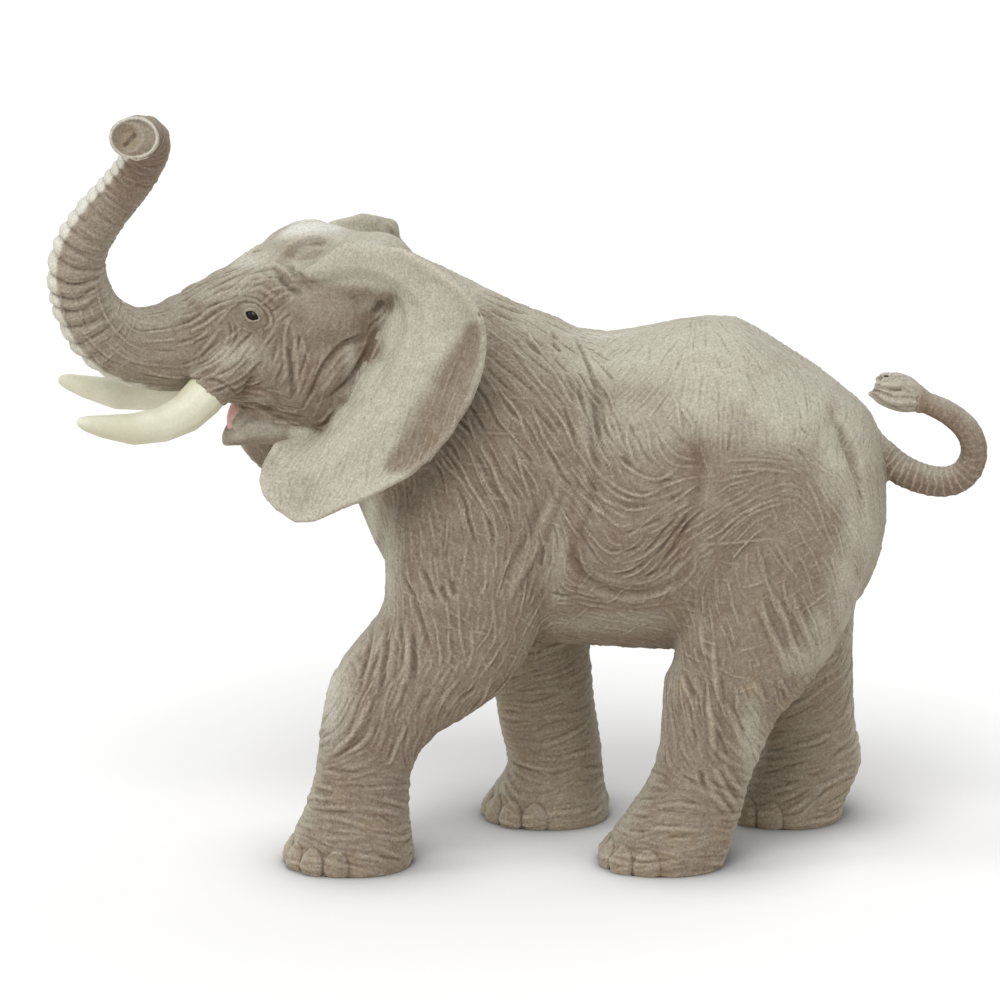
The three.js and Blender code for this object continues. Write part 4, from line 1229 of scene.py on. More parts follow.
hatch(low_trunk, 3.4, 10, 0.5, -0.26, 34, swerve=0.08, across=math.pi / 2)
hatch(nose, 2.2, 18, 0.7, 0.4, 35, swerve=0.06)
hatch(nose, 2.8, 14, 0.7, -0.4, 36, swerve=0.06)

along = limb["tail"][0]
tail_length = along.max()
hair = ease(-(at[tail_part, 0] - tail_points[-1][0]), 0.5 * mm, 3 * mm) * (at[tail_part, 2] > 98 * mm)
wobble = 0.25 * grit(at[tail_part], 2 * mm, 22)
tail_ring = thin_ridges(along / (1.7 * mm) + wobble, 0.2) * ease(along, 3 * mm, 7 * mm)
tail_ring *= 1 - 0.6 * ease(along / tail_length, 0.45, 0.65)
lift[tail_part] += mm * 0.14 * tail_ring * (1 - hair) - 1.7 * mm * hair

# ---------------------------------------------------------------- toenails

# Each foot's nails, by their turn from straight ahead in degrees.
front_nails = (-78, -52, -26, 0, 26, 52, 78)
rear_nails = (-72, -43, -14, 14, 43, 72)
nail_height, nail_middle, nail_bulge = 4.3 * mm, 1.9 * mm, 1.35 * mm
foot_height, sole_height = 9 * mm, 3 * mm
for leg, nails, half_turn in (
    ("front_left_leg", front_nails, 12.6),
    ("front_right_leg", front_nails, 12.6),
    ("rear_left_leg", rear_nails, 14),
    ("rear_right_leg", rear_nails, 14),
):
    foot, low = on(leg) & (at[:, 2] < foot_height), on(leg) & (at[:, 2] < sole_height)
    middle = (at[low].min(0) + at[low].max(0)) / 2
    turned = np.degrees(np.arctan2(-(at[foot, 1] - middle[1]), -(at[foot, 0] - middle[0])))
    bulge = np.zeros(foot.sum())
    for nail in nails:
        round_nail = 1 - ((turned - nail) / half_turn) ** 2 - ((at[foot, 2] - nail_middle) / nail_height) ** 2
        size = 1 if abs(nail) < 60 else 0.6
        bulge = np.maximum(bulge, size * np.sqrt(np.clip(round_nail, 0, 1)))
    outward = facing[foot] * (1, 1, 0)
    bulge -= 0.65 * ease(-at[foot, 2], -8 * mm, -4.5 * mm) * ease(-np.abs(turned), -105, -80)
    at[foot] += unit(outward) * (bulge * nail_bulge * ease(np.linalg.norm(outward, axis=1), 0.1, 0.5))[:, None]

# ---------------------------------------------------------------- the hide's own relief

folded = ((soften(at, edges, 14) - at) * facing).sum(1)  # above 0 in the deep folds, which stay plain
open_skin = 1 - 0.85 * ease(folded, 0.12 * mm, 0.3 * mm)
hide_relief = 0.014 * mm * streaks(at, ways, 0.8 * mm, 2, 11) + 0.022 * mm * grit(at, 0.9 * mm, 12)
strength = np.ones(len(at))
strength[ears] = 0.5
strength[tail_part] = 0.5
lift += (raised - cut + soft_raised - soft_cut + hide_relief * strength) * open_skin + drawn_fold
lift = np.where(at[:, 2] < 0.6 * mm, 0, lift)
at = at + facing * lift[:, None]
at[:, 2] = np.maximum(at[:, 2], 0)

# ---------------------------------------------------------------- eyes

eye_long, eye_high, eye_slope = 1.75 * mm, 1.0 * mm, 27
eye_ball, ball_sunk, eye_forward = 2.5 * mm, 0.7 * mm, 1.1 * mm
opening_depth = 0.9 * mm
socket_reach, lid_sphere, lid_edge, lid_sunk = 8 * mm, 5.2 * mm, 5 * mm, 3.3 * mm
arch_long, arch_high, arch_back, arch_down = 4.1 * mm, 3.1 * mm, 0.4 * mm, 0.5 * mm
eye_frames = {}
for node, of_far_side in (("left_eye", False), ("right_eye", True)):
    low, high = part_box(node)
    middle = np.array((low + high) / 2)
    gap = np.linalg.norm(at - middle, axis=1)
    outward = unit(facing[gap < 4 * mm].mean(0))
    slope = math.radians(eye_slope)
    along_lid = np.array((math.cos(slope), 0, -math.sin(slope)))
    if of_far_side:
        along_lid = along_lid - 2 * (along_lid @ head_left) * head_left
    along_lid = unit(along_lid - (along_lid @ outward) * outward)
    over_lid = np.cross(outward, along_lid) * (-1 if of_far_side else 1)
    middle = middle + along_lid * eye_forward
    eye_frames[node] = middle, outward
    near = gap < socket_reach
    offset = at[near] - middle
    right, up, depth = offset @ along_lid, offset @ over_lid, offset @ outward
    lens = np.abs(up) / eye_high + (right / eye_long) ** 2
    oval = np.sqrt((right / eye_long) ** 2 + (up / (1.35 * eye_high)) ** 2)
    seen = depth > 0
    ball = np.sqrt(np.maximum(eye_ball**2 - right**2 - up**2, 0)) - ball_sunk
    lid = np.sqrt(lid_sphere**2 - np.minimum(right**2 + up**2, lid_edge**2)) - lid_sunk
    toward = ease(-oval, -2.7, -1.5) * seen
    target = np.where(lens < 1, ball - opening_depth, lid)
    depth_new = depth + toward * (np.where(oval < 2.7, target, depth) - depth)
    rim = 0.28 * hump(lens, 1.4, 0.35) * (lens >= 1)
    arch = np.hypot((right + arch_back) / arch_long, (up + arch_down) / arch_high)
    arch += 0.07 * grit(at[near], 1.8 * mm, 41)
    fold = 0.25 * hump(arch, 1.18, 0.1) - 0.3 * hump(arch, 1, 0.09)
    fold -= 0.25 * hump(arch, 1.4, 0.09)
    fold *= ease(up, -0.6 * mm, 1.4 * mm)
    fold -= 0.2 * hump(arch, 0.85, 0.1) * ease(-up, 0.2 * mm, 1.8 * mm)
    depth_new = depth_new + seen * mm * (rim + fold * (lens >= 1))
    at[near] += outward * (depth_new - depth)[:, None]

write_points(skin_mesh, at)

# ---------------------------------------------------------------- paint

facing = read_normals(skin_mesh)
fine_patch = np.zeros(len(at), bool)
for node in eye_nodes:
    fine_patch |= np.linalg.norm(at - eye_frames[node][0], axis=1) < eye_patch
# The groove layer darkens the hollows, more round the eyes, and the skin beside each raised line: a dark wash, and
# painted shade where shade falls there.
sharp = ((neighbour_mean(at, edges, len(at)) - at) * facing).sum(1)  # above 0 in a hollow
wide = ((soften(at, edges, 12) - at) * facing).sum(1)
hollow = 0.3 * sharp / (0.03 * mm) + 0.7 * wide / (0.12 * mm)
hollow[fine_patch] *= 1.6
# line_crest lightens the raised lines, and crest below lightens what bulges: a dry brush, and painted highlight where
# light catches them.
line_crest = np.clip(raised / (0.46 * mm), 0, 1) ** 1.1
line_crest[trunk_part] = np.maximum(line_crest[trunk_part], 0.8 * ring_line)
line_crest[tail_part] = np.maximum(line_crest[tail_part], 0.8 * tail_ring * (1 - hair))
line_groove = np.clip(cut / (0.5 * mm), 0, 1) * (1 - line_crest)
groove = np.clip(hollow / 1.8, 0, 1) * (1 - 0.7 * line_crest)
beside = np.clip(1.8 * soften(line_crest, edges, 4) - line_crest, 0, 1)
groove = np.maximum(groove, 0.65 * beside)
crest = np.clip(-hollow / 2.2, 0, 1)

# Where the skin is paler, partly where the pale coat shows through the brown and partly painted light on tops, lit
# edges and bulges: a pixel, its reach across and down, and how pale it is.
pale_places = [
    (640, 345, 95, 48, 0.92), (720, 360, 80, 62, 0.92), (790, 400, 62, 52, 0.95), (845, 440, 34, 60, 0.9),
    (862, 520, 22, 60, 0.7), (846, 590, 18, 50, 0.7), (820, 640, 18, 30, 0.6), (560, 322, 60, 20, 0.55),
    (470, 285, 60, 22, 0.8), (640, 420, 50, 40, 0.5), (700, 405, 50, 34, 0.8), (372, 510, 14, 40, 0.7),
    (392, 560, 10, 50, 0.6), (335, 690, 20, 50, 0.55), (610, 622, 70, 10, 0.35), (800, 660, 20, 18, 0.6),
    (752, 740, 14, 44, 0.6), (560, 560, 14, 50, 0.3),
]
# The same on the head, with painted highlight on its ridge, the brow, the cheek over the tusk and the jaw.
pale_on_head = [
    (300, 225, 55, 13, 1.0), (350, 270, 50, 12, 0.95), (262, 262, 30, 14, 0.75), (385, 240, 30, 16, 0.9),
    (242, 285, 20, 14, 0.6), (240, 354, 28, 16, 0.5), (240, 425, 14, 10, 0.4), (215, 295, 20, 10, 0.6),
    (316, 249, 30, 22, 0.45), (335, 266, 60, 12, 0.9),
]
# Darker brown in the hollows by the tail, in the flank and at the belly's rim: painted shade.
dark_places = [
    (832, 412, 6, 16, 0.3), (842, 436, 6, 18, 0.4), (852, 462, 6, 20, 0.35), (860, 492, 5, 20, 0.25),
    (697, 452, 6, 30, 0.22), (575, 550, 8, 40, 0.25), (680, 545, 12, 22, 0.2),
]
# Darker brown in the head's creases and at the mouth's corner: painted shade.
dark_on_head = [
    (366, 352, 8, 30, 0.3), (312, 380, 8, 18, 0.25), (245, 392, 16, 8, 0.25),
]
# Brown on the ears, with painted shade on the far lobe below the jaw.
brown_on_ears = [
    (300, 492, 24, 26, 0.3), (262, 455, 12, 22, 0.5), (350, 470, 30, 18, 0.15),
]
# Bright spots on the head: a pale coat, and painted highlight on its ridge, the brow, the jaw and the lip.
bright_on_head = [
    (300, 226, 50, 12, 0.85), (240, 262, 26, 7, 0.35), (262, 430, 26, 10, 0.35), (238, 436, 12, 6, 0.4),
    (258, 400, 10, 5, 0.25), (350, 366, 6, 22, 0.25),
]
# Bright on the body: a pale coat, and painted highlight on the chest's edge, the knee's front and the back.
bright_places = [
    (372, 520, 7, 40, 0.5), (385, 560, 7, 40, 0.35), (330, 680, 8, 50, 0.4), (600, 334, 30, 5, 0.3),
]
ear_band = [
    (474, 330, 9), (468, 350, 14), (459, 372, 18), (450, 395, 23), (438, 418, 23), (424, 438, 20), (408, 455, 15),
    (392, 466, 8),
]


def dabbed(places, points):
    where = in_picture(points)
    total = np.zeros(len(points))
    for x, y, across, down, strong in places:
        gap = (((where - (x, y)) / (across, down)) ** 2).sum(1)
        total = np.maximum(total, strong * np.exp(-(gap**1.6)))
    return total


def sprayed(line, points):
    """A soft band along a line of pixels, each with the band's half width there."""
    where = in_picture(points)
    gap = np.full(len(points), 9.0)
    for x, y, half in smooth_line(line, 5):
        gap = np.minimum(gap, np.hypot(where[:, 0] - x, where[:, 1] - y) / half)
    return ease(-gap, -1.6, -0.5)


# Brown is sprayed from the sides and also lies on what faces down, so what faces forwards, backwards or up stays paler:
# partly the spray, partly painted light from above and painted shade underneath.
side_on = ease(np.abs(facing[:, 1]), 0.1, 0.75)
side_on = np.maximum(side_on, ease(-facing[:, 2], 0.1, 0.6))
brown = np.full(len(at), 0.86)
bare_and_lit = np.zeros(len(at))
bare_and_lit[~head_part] = dabbed(pale_places, as_near[~head_part])
bare_and_lit[face_part] = dabbed(pale_on_head, as_near[face_part])
brown = brown * (1 - bare_and_lit) * (0.42 + 0.58 * side_on)
brown[~head_part] += dabbed(dark_places, as_near[~head_part])
brown[face_part] += dabbed(dark_on_head, as_near[face_part])
ears_as_near = as_near[ears]
brown[ears] = np.maximum(0.1, np.maximum(dabbed(brown_on_ears, ears_as_near), 0.85 * sprayed(ear_band, ears_as_near)))
back_of_ear = ears & ((facing @ head_left) * away_from_middle < -0.1)
brown[back_of_ear] = 0.35
brown[on("right_ear") & (in_picture(at)[:, 1] < 252)] = 0.1
# The trunk's outer side is a bright strip with a scalloped edge: partly paint, partly painted highlight where it turns
# to the light.
around = limb["trunk"][1]
edge = 0.85 + 0.1 * (0.5 - scallop)
on_strip = ease(np.cos(around), edge - 0.05, edge + 0.05) * ease(trunk_share, 0.12, 0.2)
trunk_brown = np.interp(trunk_share, (0.05, 0.3, 0.6, 0.8, 1), (0.84, 0.68, 0.78, 1.0, 1.0))
trunk_brown -= 0.3 * ease(-np.cos(around), 0.5, 1.0)
brown[trunk_part] = trunk_brown * (1 - on_strip)
# Below the fold over its root the ear's pale coat ends on the cheek, wherever the seam runs.
where = in_picture(as_near)
fold_edge = np.interp(where[:, 0], (285, 300, 315, 330, 350, 375, 392), (268, 273, 279, 282, 284, 286, 291))
part = head_part & (as_near @ head_left > head_pivot @ head_left)
part &= (where[:, 0] > 288) & (where[:, 0] < 394) & (where[:, 1] > 262) & (where[:, 1] < 312)
part &= (facing @ head_left) * away_from_middle > 0.1
brown[part] = 0.1 + 0.66 * ease(where[part, 1] - fold_edge[part], -3, 6)
# The far ear's lobe below the jaw is painted dark brown: painted shade.
shown = in_picture(at)
brown[on("right_ear") & ((((shown - (266, 458)) / (24, 30)) ** 2).sum(1) < 1) & (facing[:, 1] < -0.1)] = 0.8
brown[end_faced] = 0.75 - 0.75 * ease(end_rho[end_faced], 0.84, 0.95)
# The legs' sides that face the far side are paler and warmer: painted light thrown back into their shade.
inner = legs & (facing[:, 1] * away_from_middle > 0.2)
brown[inner] -= 0.15
# The tail is browner underneath and paler on top: partly paint, partly painted light from above.
brown[tail_part] = 1.0 - 0.5 * ease(facing[tail_part, 2], 0.0, 0.9)
brown = np.where(fine_patch | trunk_part, soften(brown, edges, 1), soften(brown, edges, 8))
ochre = ease(grit(at, 9 * mm, 31) + 0.6 * grit(at, 4 * mm, 32), 0.35, 1.0) * (0.35 + 0.65 * legs)
toes = legs & (at[:, 2] < 6 * mm) & (facing[:, 0] < -0.1)
ochre = np.maximum(ochre, 0.55 * toes)
ochre[inner] += 0.5
ochre[trunk_part] += (
    0.8 * hump(trunk_share, 0.5, 0.13) * hump(np.cos(around), 0.68, 0.14) * scallop
)
ochre[end_faced] = 0.9 * ease(-end_dish[end_faced], -1.0, -0.7)
# The bright layer: a pale coat, and painted highlight on the trunk's strip, the nostril disc's rim and the lit edges.
bright = np.zeros(len(at))
bright[trunk_part] = 0.75 * on_strip
bright[face_part] = dabbed(bright_on_head, as_near[face_part])
part = ~head_part & ~trunk_part
bright[part] = dabbed(bright_places, as_near[part])
bright[end_faced] = 0.7 * hump(end_rho[end_faced], 0.93, 0.06)
for name, values in (
    ("brown", brown), ("ochre", ochre), ("bright", bright), ("groove", groove), ("crest", crest),
    ("line_crest", line_crest), ("line_groove", line_groove),
):
    write_layer(skin_mesh, name, np.clip(values, 0, 1))

# ---------------------------------------------------------------- materials


def colour(red, green, blue):
    """A colour given as it shows on a screen, from 0 to 255."""
    def linear(part):
        part /= 255
        return part / 12.92 if part <= 0.04045 else ((part + 0.055) / 1.055) ** 2.4
    return (linear(red), linear(green), linear(blue), 1)


class Finish:
    """A material made of nodes."""

    def __init__(self, name):
        self.material = bpy.data.materials.new(name)
        self.material.use_nodes = True
        self.tree = self.material.node_tree
        self.shader = self.tree.nodes["Principled BSDF"]
        self.place = self.tree.nodes.new("ShaderNodeTexCoord").outputs["Object"]

    def link(self, source, target):
        self.tree.links.new(source, target)

    def noise(self, scale, detail=2.0, rough=0.5):
        node = self.tree.nodes.new("ShaderNodeTexNoise")
        self.link(self.place, node.inputs["Vector"])
        node.inputs["Scale"].default_value = scale
        node.inputs["Detail"].default_value = detail
        node.inputs["Roughness"].default_value = rough
        return node.outputs["Fac"]

    def layer(self, name):
        node = self.tree.nodes.new("ShaderNodeAttribute")
        node.attribute_name = name
        return node.outputs["Fac"]

    def maths(self, operation, first, second=0.0, third=0.0, limit=False):
        node = self.tree.nodes.new("ShaderNodeMath")
        node.operation = operation
        node.use_clamp = limit
        for socket, value in zip(node.inputs, (first, second, third)):
            if isinstance(value, (int, float)):
                socket.default_value = value
            else:
                self.link(value, socket)
        return node.outputs[0]

    def blend(self, share, first, second):
        node = self.tree.nodes.new("ShaderNodeMix")
        node.data_type = "RGBA"
        node.clamp_factor = True
        for socket, value in ((node.inputs["Factor"], share), (node.inputs[6], first), (node.inputs[7], second)):
            if isinstance(value, (int, float, tuple)):
                socket.default_value = value
            else:
                self.link(value, socket)
        return node.outputs[2]

    def stretch(self, value, low, high, to_low=0.0, to_high=1.0, smooth=False):
        node = self.tree.nodes.new("ShaderNodeMapRange")
        if smooth:
            node.interpolation_type = "SMOOTHSTEP"
        self.link(value, node.inputs["Value"])
        for name, number in (("From Min", low), ("From Max", high), ("To Min", to_low), ("To Max", to_high)):
            node.inputs[name].default_value = number
        return node.outputs["Result"]

    def bump(self, height, strength, distance):
        node = self.tree.nodes.new("ShaderNodeBump")
        node.inputs["Strength"].default_value = strength
        node.inputs["Distance"].default_value = distance
        self.link(height, node.inputs["Height"])
        self.link(node.outputs["Normal"], self.shader.inputs["Normal"])


pale_coat_and_light, brown_spray_and_shade, bright_coat_and_highlight = colour(192, 189, 173), colour(128, 112, 97), colour(226, 226, 215)
ochre_stain, dark_wash_and_shade, dry_brush_and_highlight = colour(172, 148, 104), colour(84, 67, 53), colour(205, 194, 176)
ivory_coat, ivory_shade, ivory_fleck = colour(232, 232, 212), colour(220, 219, 192), colour(190, 184, 156)
pink_coat, pink_shade = colour(238, 194, 187), colour(226, 174, 166)
eye_coat, eye_shade = colour(24, 19, 16), colour(12, 10, 9)


def make_hide():
    hide = Finish("painted_hide")
    cloud = hide.noise(220, 3)
    mottle = hide.noise(900, 3, 0.6)
    speckle = hide.noise(2000, 3, 0.7)
    brown = hide.maths("ADD", hide.layer("brown"), hide.stretch(cloud, 0.3, 0.7, -0.08, 0.08))
    brown = hide.maths("ADD", brown, hide.stretch(mottle, 0.3, 0.7, -0.1, 0.1))
    paint = hide.blend(brown, pale_coat_and_light, brown_spray_and_shade)
    paint = hide.blend(hide.layer("bright"), paint, bright_coat_and_highlight)
    ochre = hide.maths("MULTIPLY", hide.layer("ochre"), hide.stretch(mottle, 0.35, 0.65, 0.0, 0.8))
    paint = hide.blend(hide.maths("MULTIPLY", ochre, 0.45), paint, ochre_stain)
    # Darker in the hollows and beside the raised lines: a wash and painted shade.
    dark = hide.maths("MULTIPLY", hide.layer("groove"), hide.stretch(mottle, 0.25, 0.75, 0.5, 1.0))
    fine_dark = hide.stretch(hide.layer("line_groove"), 0.2, 0.95, smooth=True)
    dark = hide.maths("MAXIMUM", dark, hide.maths("MULTIPLY", fine_dark, 0.65))
    paint = hide.blend(hide.maths("MULTIPLY", dark, 0.75), paint, dark_wash_and_shade)
    # Lighter on the crests and raised lines: a dry brush and painted highlight.
    fine_light = hide.stretch(hide.layer("line_crest"), 0.2, 0.95, smooth=True)
    light = hide.maths("MULTIPLY", hide.layer("crest"), 0.5)
    light = hide.maths("MAXIMUM", light, hide.maths("MULTIPLY", fine_light, 0.6))
    light = hide.maths("MULTIPLY", light, hide.stretch(speckle, 0.35, 0.65, 0.55, 1.0))
    paint = hide.blend(light, paint, dry_brush_and_highlight)
    grain = hide.stretch(speckle, 0.3, 0.7, -0.25, 0.25)
    value = hide.tree.nodes.new("ShaderNodeHueSaturation")
    hide.link(hide.maths("ADD", grain, 1.0), value.inputs["Value"])
    hide.link(paint, value.inputs["Color"])
    hide.link(value.outputs["Color"], hide.shader.inputs["Base Color"])
    hide.link(hide.stretch(mottle, 0.3, 0.7, 0.68, 0.82), hide.shader.inputs["Roughness"])
    hide.shader.inputs["Specular IOR Level"].default_value = 0.3
    relief = hide.maths("ADD", hide.maths("MULTIPLY", mottle, 0.5), hide.maths("MULTIPLY", speckle, 0.5))
    relief = hide.maths("ADD", relief, hide.maths("SUBTRACT", fine_light, fine_dark))
    hide.bump(relief, 0.5, 0.00018)
    return hide.material


def make_ivory():
    ivory = Finish("painted_ivory")
    cloud = ivory.noise(140, 3)
    speckle = ivory.noise(1800, 2)
    paint = ivory.blend(ivory.stretch(cloud, 0.35, 0.65), ivory_coat, ivory_shade)
    paint = ivory.blend(ivory.stretch(speckle, 0.35, 0.7, 0, 0.2), paint, ivory_fleck)
    ivory.link(paint, ivory.shader.inputs["Base Color"])
    ivory.link(ivory.stretch(speckle, 0.3, 0.7, 0.42, 0.55), ivory.shader.inputs["Roughness"])
    ivory.shader.inputs["Specular IOR Level"].default_value = 0.4
    ivory.bump(ivory.noise(700, 3), 0.12, 0.0002)
    return ivory.material


def make_mouth():
    mouth = Finish("pink_mouth_paint")
    cloud = mouth.noise(500, 3)
    paint = mouth.blend(mouth.stretch(cloud, 0.35, 0.65), pink_coat, pink_shade)
    mouth.link(paint, mouth.shader.inputs["Base Color"])
    mouth.link(mouth.stretch(cloud, 0.3, 0.7, 0.4, 0.55), mouth.shader.inputs["Roughness"])
    mouth.bump(mouth.noise(1500, 2), 0.15, 0.0002)
    return mouth.material


def make_eye():
    eye = Finish("gloss_eye_paint")
    cloud = eye.noise(900, 2)
    paint = eye.blend(eye.stretch(cloud, 0.35, 0.65), eye_coat, eye_shade)
    eye.link(paint, eye.shader.inputs["Base Color"])
    eye.link(eye.stretch(cloud, 0.3, 0.7, 0.14, 0.22), eye.shader.inputs["Roughness"])
    eye.shader.inputs["Specular IOR Level"].default_value = 0.2
    return eye.material


hide_finish, ivory_finish, mouth_finish, eye_finish = make_hide(), make_ivory(), make_mouth(), make_eye()

# ---------------------------------------------------------------- the skin parted into its mouldings


def keep_normals(thing):
    """Shades a piece as part of the whole skin, so that no seam shows, and its hidden caps as flats."""
    mesh = thing.data
    whole = read_values(mesh.attributes["whole_skin"].data, "vector", 3)
    corner = read_values(mesh.loops, "vertex_index", kind=np.int32)
    face_of = np.repeat(np.arange(len(mesh.polygons)), read_values(mesh.polygons, "loop_total", kind=np.int32))
    capped = np.linalg.norm(whole, axis=1) < 0.5
    cap_face = np.zeros(len(mesh.polygons), bool)
    cap_face[face_of[capped[corner]]] = True
    on_cap = cap_face[face_of]
    per_corner = whole[corner]
    per_corner[on_cap] = read_values(mesh.polygons, "normal", 3)[face_of[on_cap]]
    mesh.normals_split_custom_set(per_corner.tolist())
    mesh.attributes.remove(mesh.attributes["whole_skin"])


cap_sink = 7 * mm


def cap_openings(thing):
    """Closes each seam opening with a fan to its middle, which is sunk where the opening lies on a side."""
    whole = bmesh.new()
    whole.from_mesh(thing.data)
    layer = whole.verts.layers.float_vector["whole_skin"]
    rim = {edge for edge in whole.edges if edge.is_boundary}
    while rim:
        start = rim.pop()
        ring, queue = [start], list(start.verts)
        while queue:
            for edge in queue.pop().link_edges:
                if edge in rim:
                    rim.discard(edge)
                    ring.append(edge)
                    queue += list(edge.verts)
        middle = sum((edge.verts[0].co + edge.verts[1].co for edge in ring), Vector()) / (2 * len(ring))
        faced = sum((edge.verts[0][layer] + edge.verts[1][layer] for edge in ring), Vector()) / (2 * len(ring))
        centre = whole.verts.new(middle - faced * cap_sink)
        centre[layer] = (0, 0, 0)
        for edge in ring:
            loop = edge.link_loops[0]
            whole.faces.new((loop.link_loop_next.vert, loop.vert, centre))
    whole.to_mesh(thing.data)
    whole.free()
    thing.data.update()


halved_at = 22 * mm


def part_skin():
    """The clay parted at the mouldings' seams, each piece closed and standing for its node."""
    mesh = clay.data
    flat = mesh.attributes.new("whole_skin", "FLOAT_VECTOR", "POINT")
    flat.data.foreach_set("vector", facing.astype(np.float32).ravel())
    mesh.materials.clear()
    names = [node + "_skin" for node in skin_nodes] + [node + "_hind_skin" for node in halved_nodes]
    for name in names:
        mesh.materials.append(bpy.data.materials.new(name))
    starts = read_values(mesh.polygons, "loop_start", kind=np.int32)
    corner = read_values(mesh.loops, "vertex_index", kind=np.int32)
    votes = np.stack([owner[corner[starts + k]] for k in range(3)], -1)
    chosen = np.where(votes[:, 1] == votes[:, 2], votes[:, 1], votes[:, 0])
    hind = at[corner[starts], 0] > halved_at
    for number, node in enumerate(halved_nodes):
        chosen[hind & (chosen == skin_nodes.index(node))] = len(skin_nodes) + number
    mesh.polygons.foreach_set("material_index", chosen.astype(np.int32))
    mesh.polygons.foreach_set("use_smooth", np.ones(len(mesh.polygons), bool))
    mesh.update()
    edit_whole(clay, bpy.ops.mesh.separate, type="MATERIAL")
    for thing in list(bpy.context.selected_objects):
        thing.name = thing.data.materials[thing.data.polygons[0].material_index].name
        node = (skin_nodes + halved_nodes)[names.index(thing.name)]
        thing.data.materials.clear()
        thing.data.materials.append(hide_finish)
        thing.data.polygons.foreach_set("material_index", np.zeros(len(thing.data.polygons), np.int32))
        cap_openings(thing)
        keep_normals(thing)
        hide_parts(node)
        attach(thing, "root")


part_skin()

# ---------------------------------------------------------------- tusks, tongue and eyes

tusk_share = 0.945  # the tips are blunt and stop short of the solid's


def finish_piece(thing, finish, slot, *nodes):
    """Gives a piece its paint and its body, shades it smooth and hides the nodes that it stands for. The slot is not
    used.
    """
    select_only(thing)
    bpy.ops.object.shade_smooth()
    thing.data.materials.clear()
    thing.data.materials.append(finish)
    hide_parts(*nodes)
    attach(thing, "root")


for node, name, finish, slot, growth in (
    ("left_tusk", "left_tusk_ivory", ivory_finish, "ivory", 0.75),
    ("right_tusk", "right_tusk_ivory", ivory_finish, "ivory", 0.75),
    ("tongue", "tongue_paint", mouth_finish, "mouth", 0.1),
):
    thing = merged_copy(node, name)
    apply_modifier(thing, "DISPLACE", strength=growth * mm, mid_level=0)
    apply_modifier(thing, "REMESH", mode="VOXEL", voxel_size=0.3 * mm)
    apply_modifier(thing, "SMOOTH", factor=0.5, iterations=25)
    if slot == "ivory":
        points = read_points(thing.data)
        root = points[:, 0].max()
        points[:, 0] = root + (points[:, 0] - root) * tusk_share
        write_points(thing.data, points)
    finish_piece(thing, finish, slot, node)

for node in eye_nodes:
    middle, outward = eye_frames[node]
    bpy.ops.object.select_all(action="DESELECT")
    bpy.ops.mesh.primitive_uv_sphere_add(
        segments=48, ring_count=32, radius=eye_ball, location=middle - outward * ball_sunk
    )
    ball = bpy.context.object
    ball.name = node + "_gloss"
    bpy.ops.object.transform_apply(location=True, rotation=True, scale=True)
    finish_piece(ball, eye_finish, "eye", node)

# ---------------------------------------------------------------- tail tuft

tail_line = smooth_line(tail_points, line_step)
tuft_way = unit(tail_line[-1] - tail_line[-8])
tuft_start = tail_line[-1] + tuft_way * 0.2 * mm
tuft_side = unit(np.cross(tuft_way, (0, 0, 1)))
tuft_up = np.cross(tuft_side, tuft_way)
strand_count, strand_steps, root_spread, full_round = 48, 10, 1.2 * mm, 2 * math.pi
golden = 1.618
rng = np.random.default_rng(40)
strands = bpy.data.curves.new("tail_tuft_hair", "CURVE")
strands.dimensions = "3D"
strands.bevel_depth = 1 * mm
strands.bevel_resolution = 1
strands.resolution_u = 3
for number in range(strand_count):
    turned = full_round * number / strand_count * golden
    spread = (3.6, 2.6, 1.3)[number % 3] * rng.uniform(0.85, 1.1) * mm
    long = rng.uniform(9.5, 12.5) * mm
    curl = rng.uniform(-1.4, 1.4)
    phase = rng.uniform(0, full_round)
    thick = rng.uniform(0.5, 0.7)
    path = strands.splines.new("BEZIER")
    path.bezier_points.add(strand_steps - 1)
    for step, point in enumerate(path.bezier_points):
        share = step / (strand_steps - 1)
        wide = root_spread + (spread - root_spread) * math.sin(math.pi * min(0.88, share))
        angle = turned + curl * share * share
        lean = 0.9 * mm * share * share * math.sin(2.2 * turned + number)
        point.co = Vector(
            tuft_start
            + tuft_way * (long * share - 0.6 * mm)
            + wide * (math.cos(angle) * tuft_side + math.sin(angle) * tuft_up)
            + lean * tuft_up
            + 0.45 * mm * share * math.sin(8 * share + phase) * tuft_up
        )
        point.handle_left_type = point.handle_right_type = "AUTO"
        point.radius = thick * (1 - share**4) + 0.4
tuft = bpy.data.objects.new("tail_tuft_hair", strands)
bpy.context.scene.collection.objects.link(tuft)
select_only(tuft)
bpy.ops.object.convert(target="MESH")
tuft = bpy.context.object
apply_modifier(tuft, "REMESH", mode="VOXEL", voxel_size=0.22 * mm)
apply_modifier(tuft, "SMOOTH", factor=0.5, iterations=2)
tuft_at = read_points(tuft.data)
# The tuft is darker in its hollows and lighter on its strands: a wash and dry brush, and painted shade and highlight.
deep = ((soften(tuft_at, read_edges(tuft.data), 8) - tuft_at) * read_normals(tuft.data)).sum(1) / (0.1 * mm)
plain_layer = np.zeros(len(tuft_at))
for name, values in (
    ("brown", plain_layer + 0.3), ("ochre", plain_layer), ("bright", plain_layer), ("groove", deep),
    ("crest", -deep), ("line_crest", plain_layer), ("line_groove", plain_layer),
):
    write_layer(tuft.data, name, np.clip(values, 0, 1))
finish_piece(tuft, hide_finish, "skin", "tail")

# ---------------------------------------------------------------- floor and light

bpy.ops.object.select_all(action="DESELECT")
bpy.ops.mesh.primitive_plane_add(size=8, location=(0, 0, -0.0001))
floor = bpy.context.object
floor.name = "floor"
floor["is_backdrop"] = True


def add_node(tree, kind, values=(), operation=None):
    """A node with these values in its sockets."""
    node = tree.nodes.new(kind)
    if operation:
        node.operation = operation
    for name, value in dict(values).items():
        node.inputs[name].default_value = value
    return node


def join(tree, *pairs):
    for source, target in pairs:
        tree.links.new(source, target)


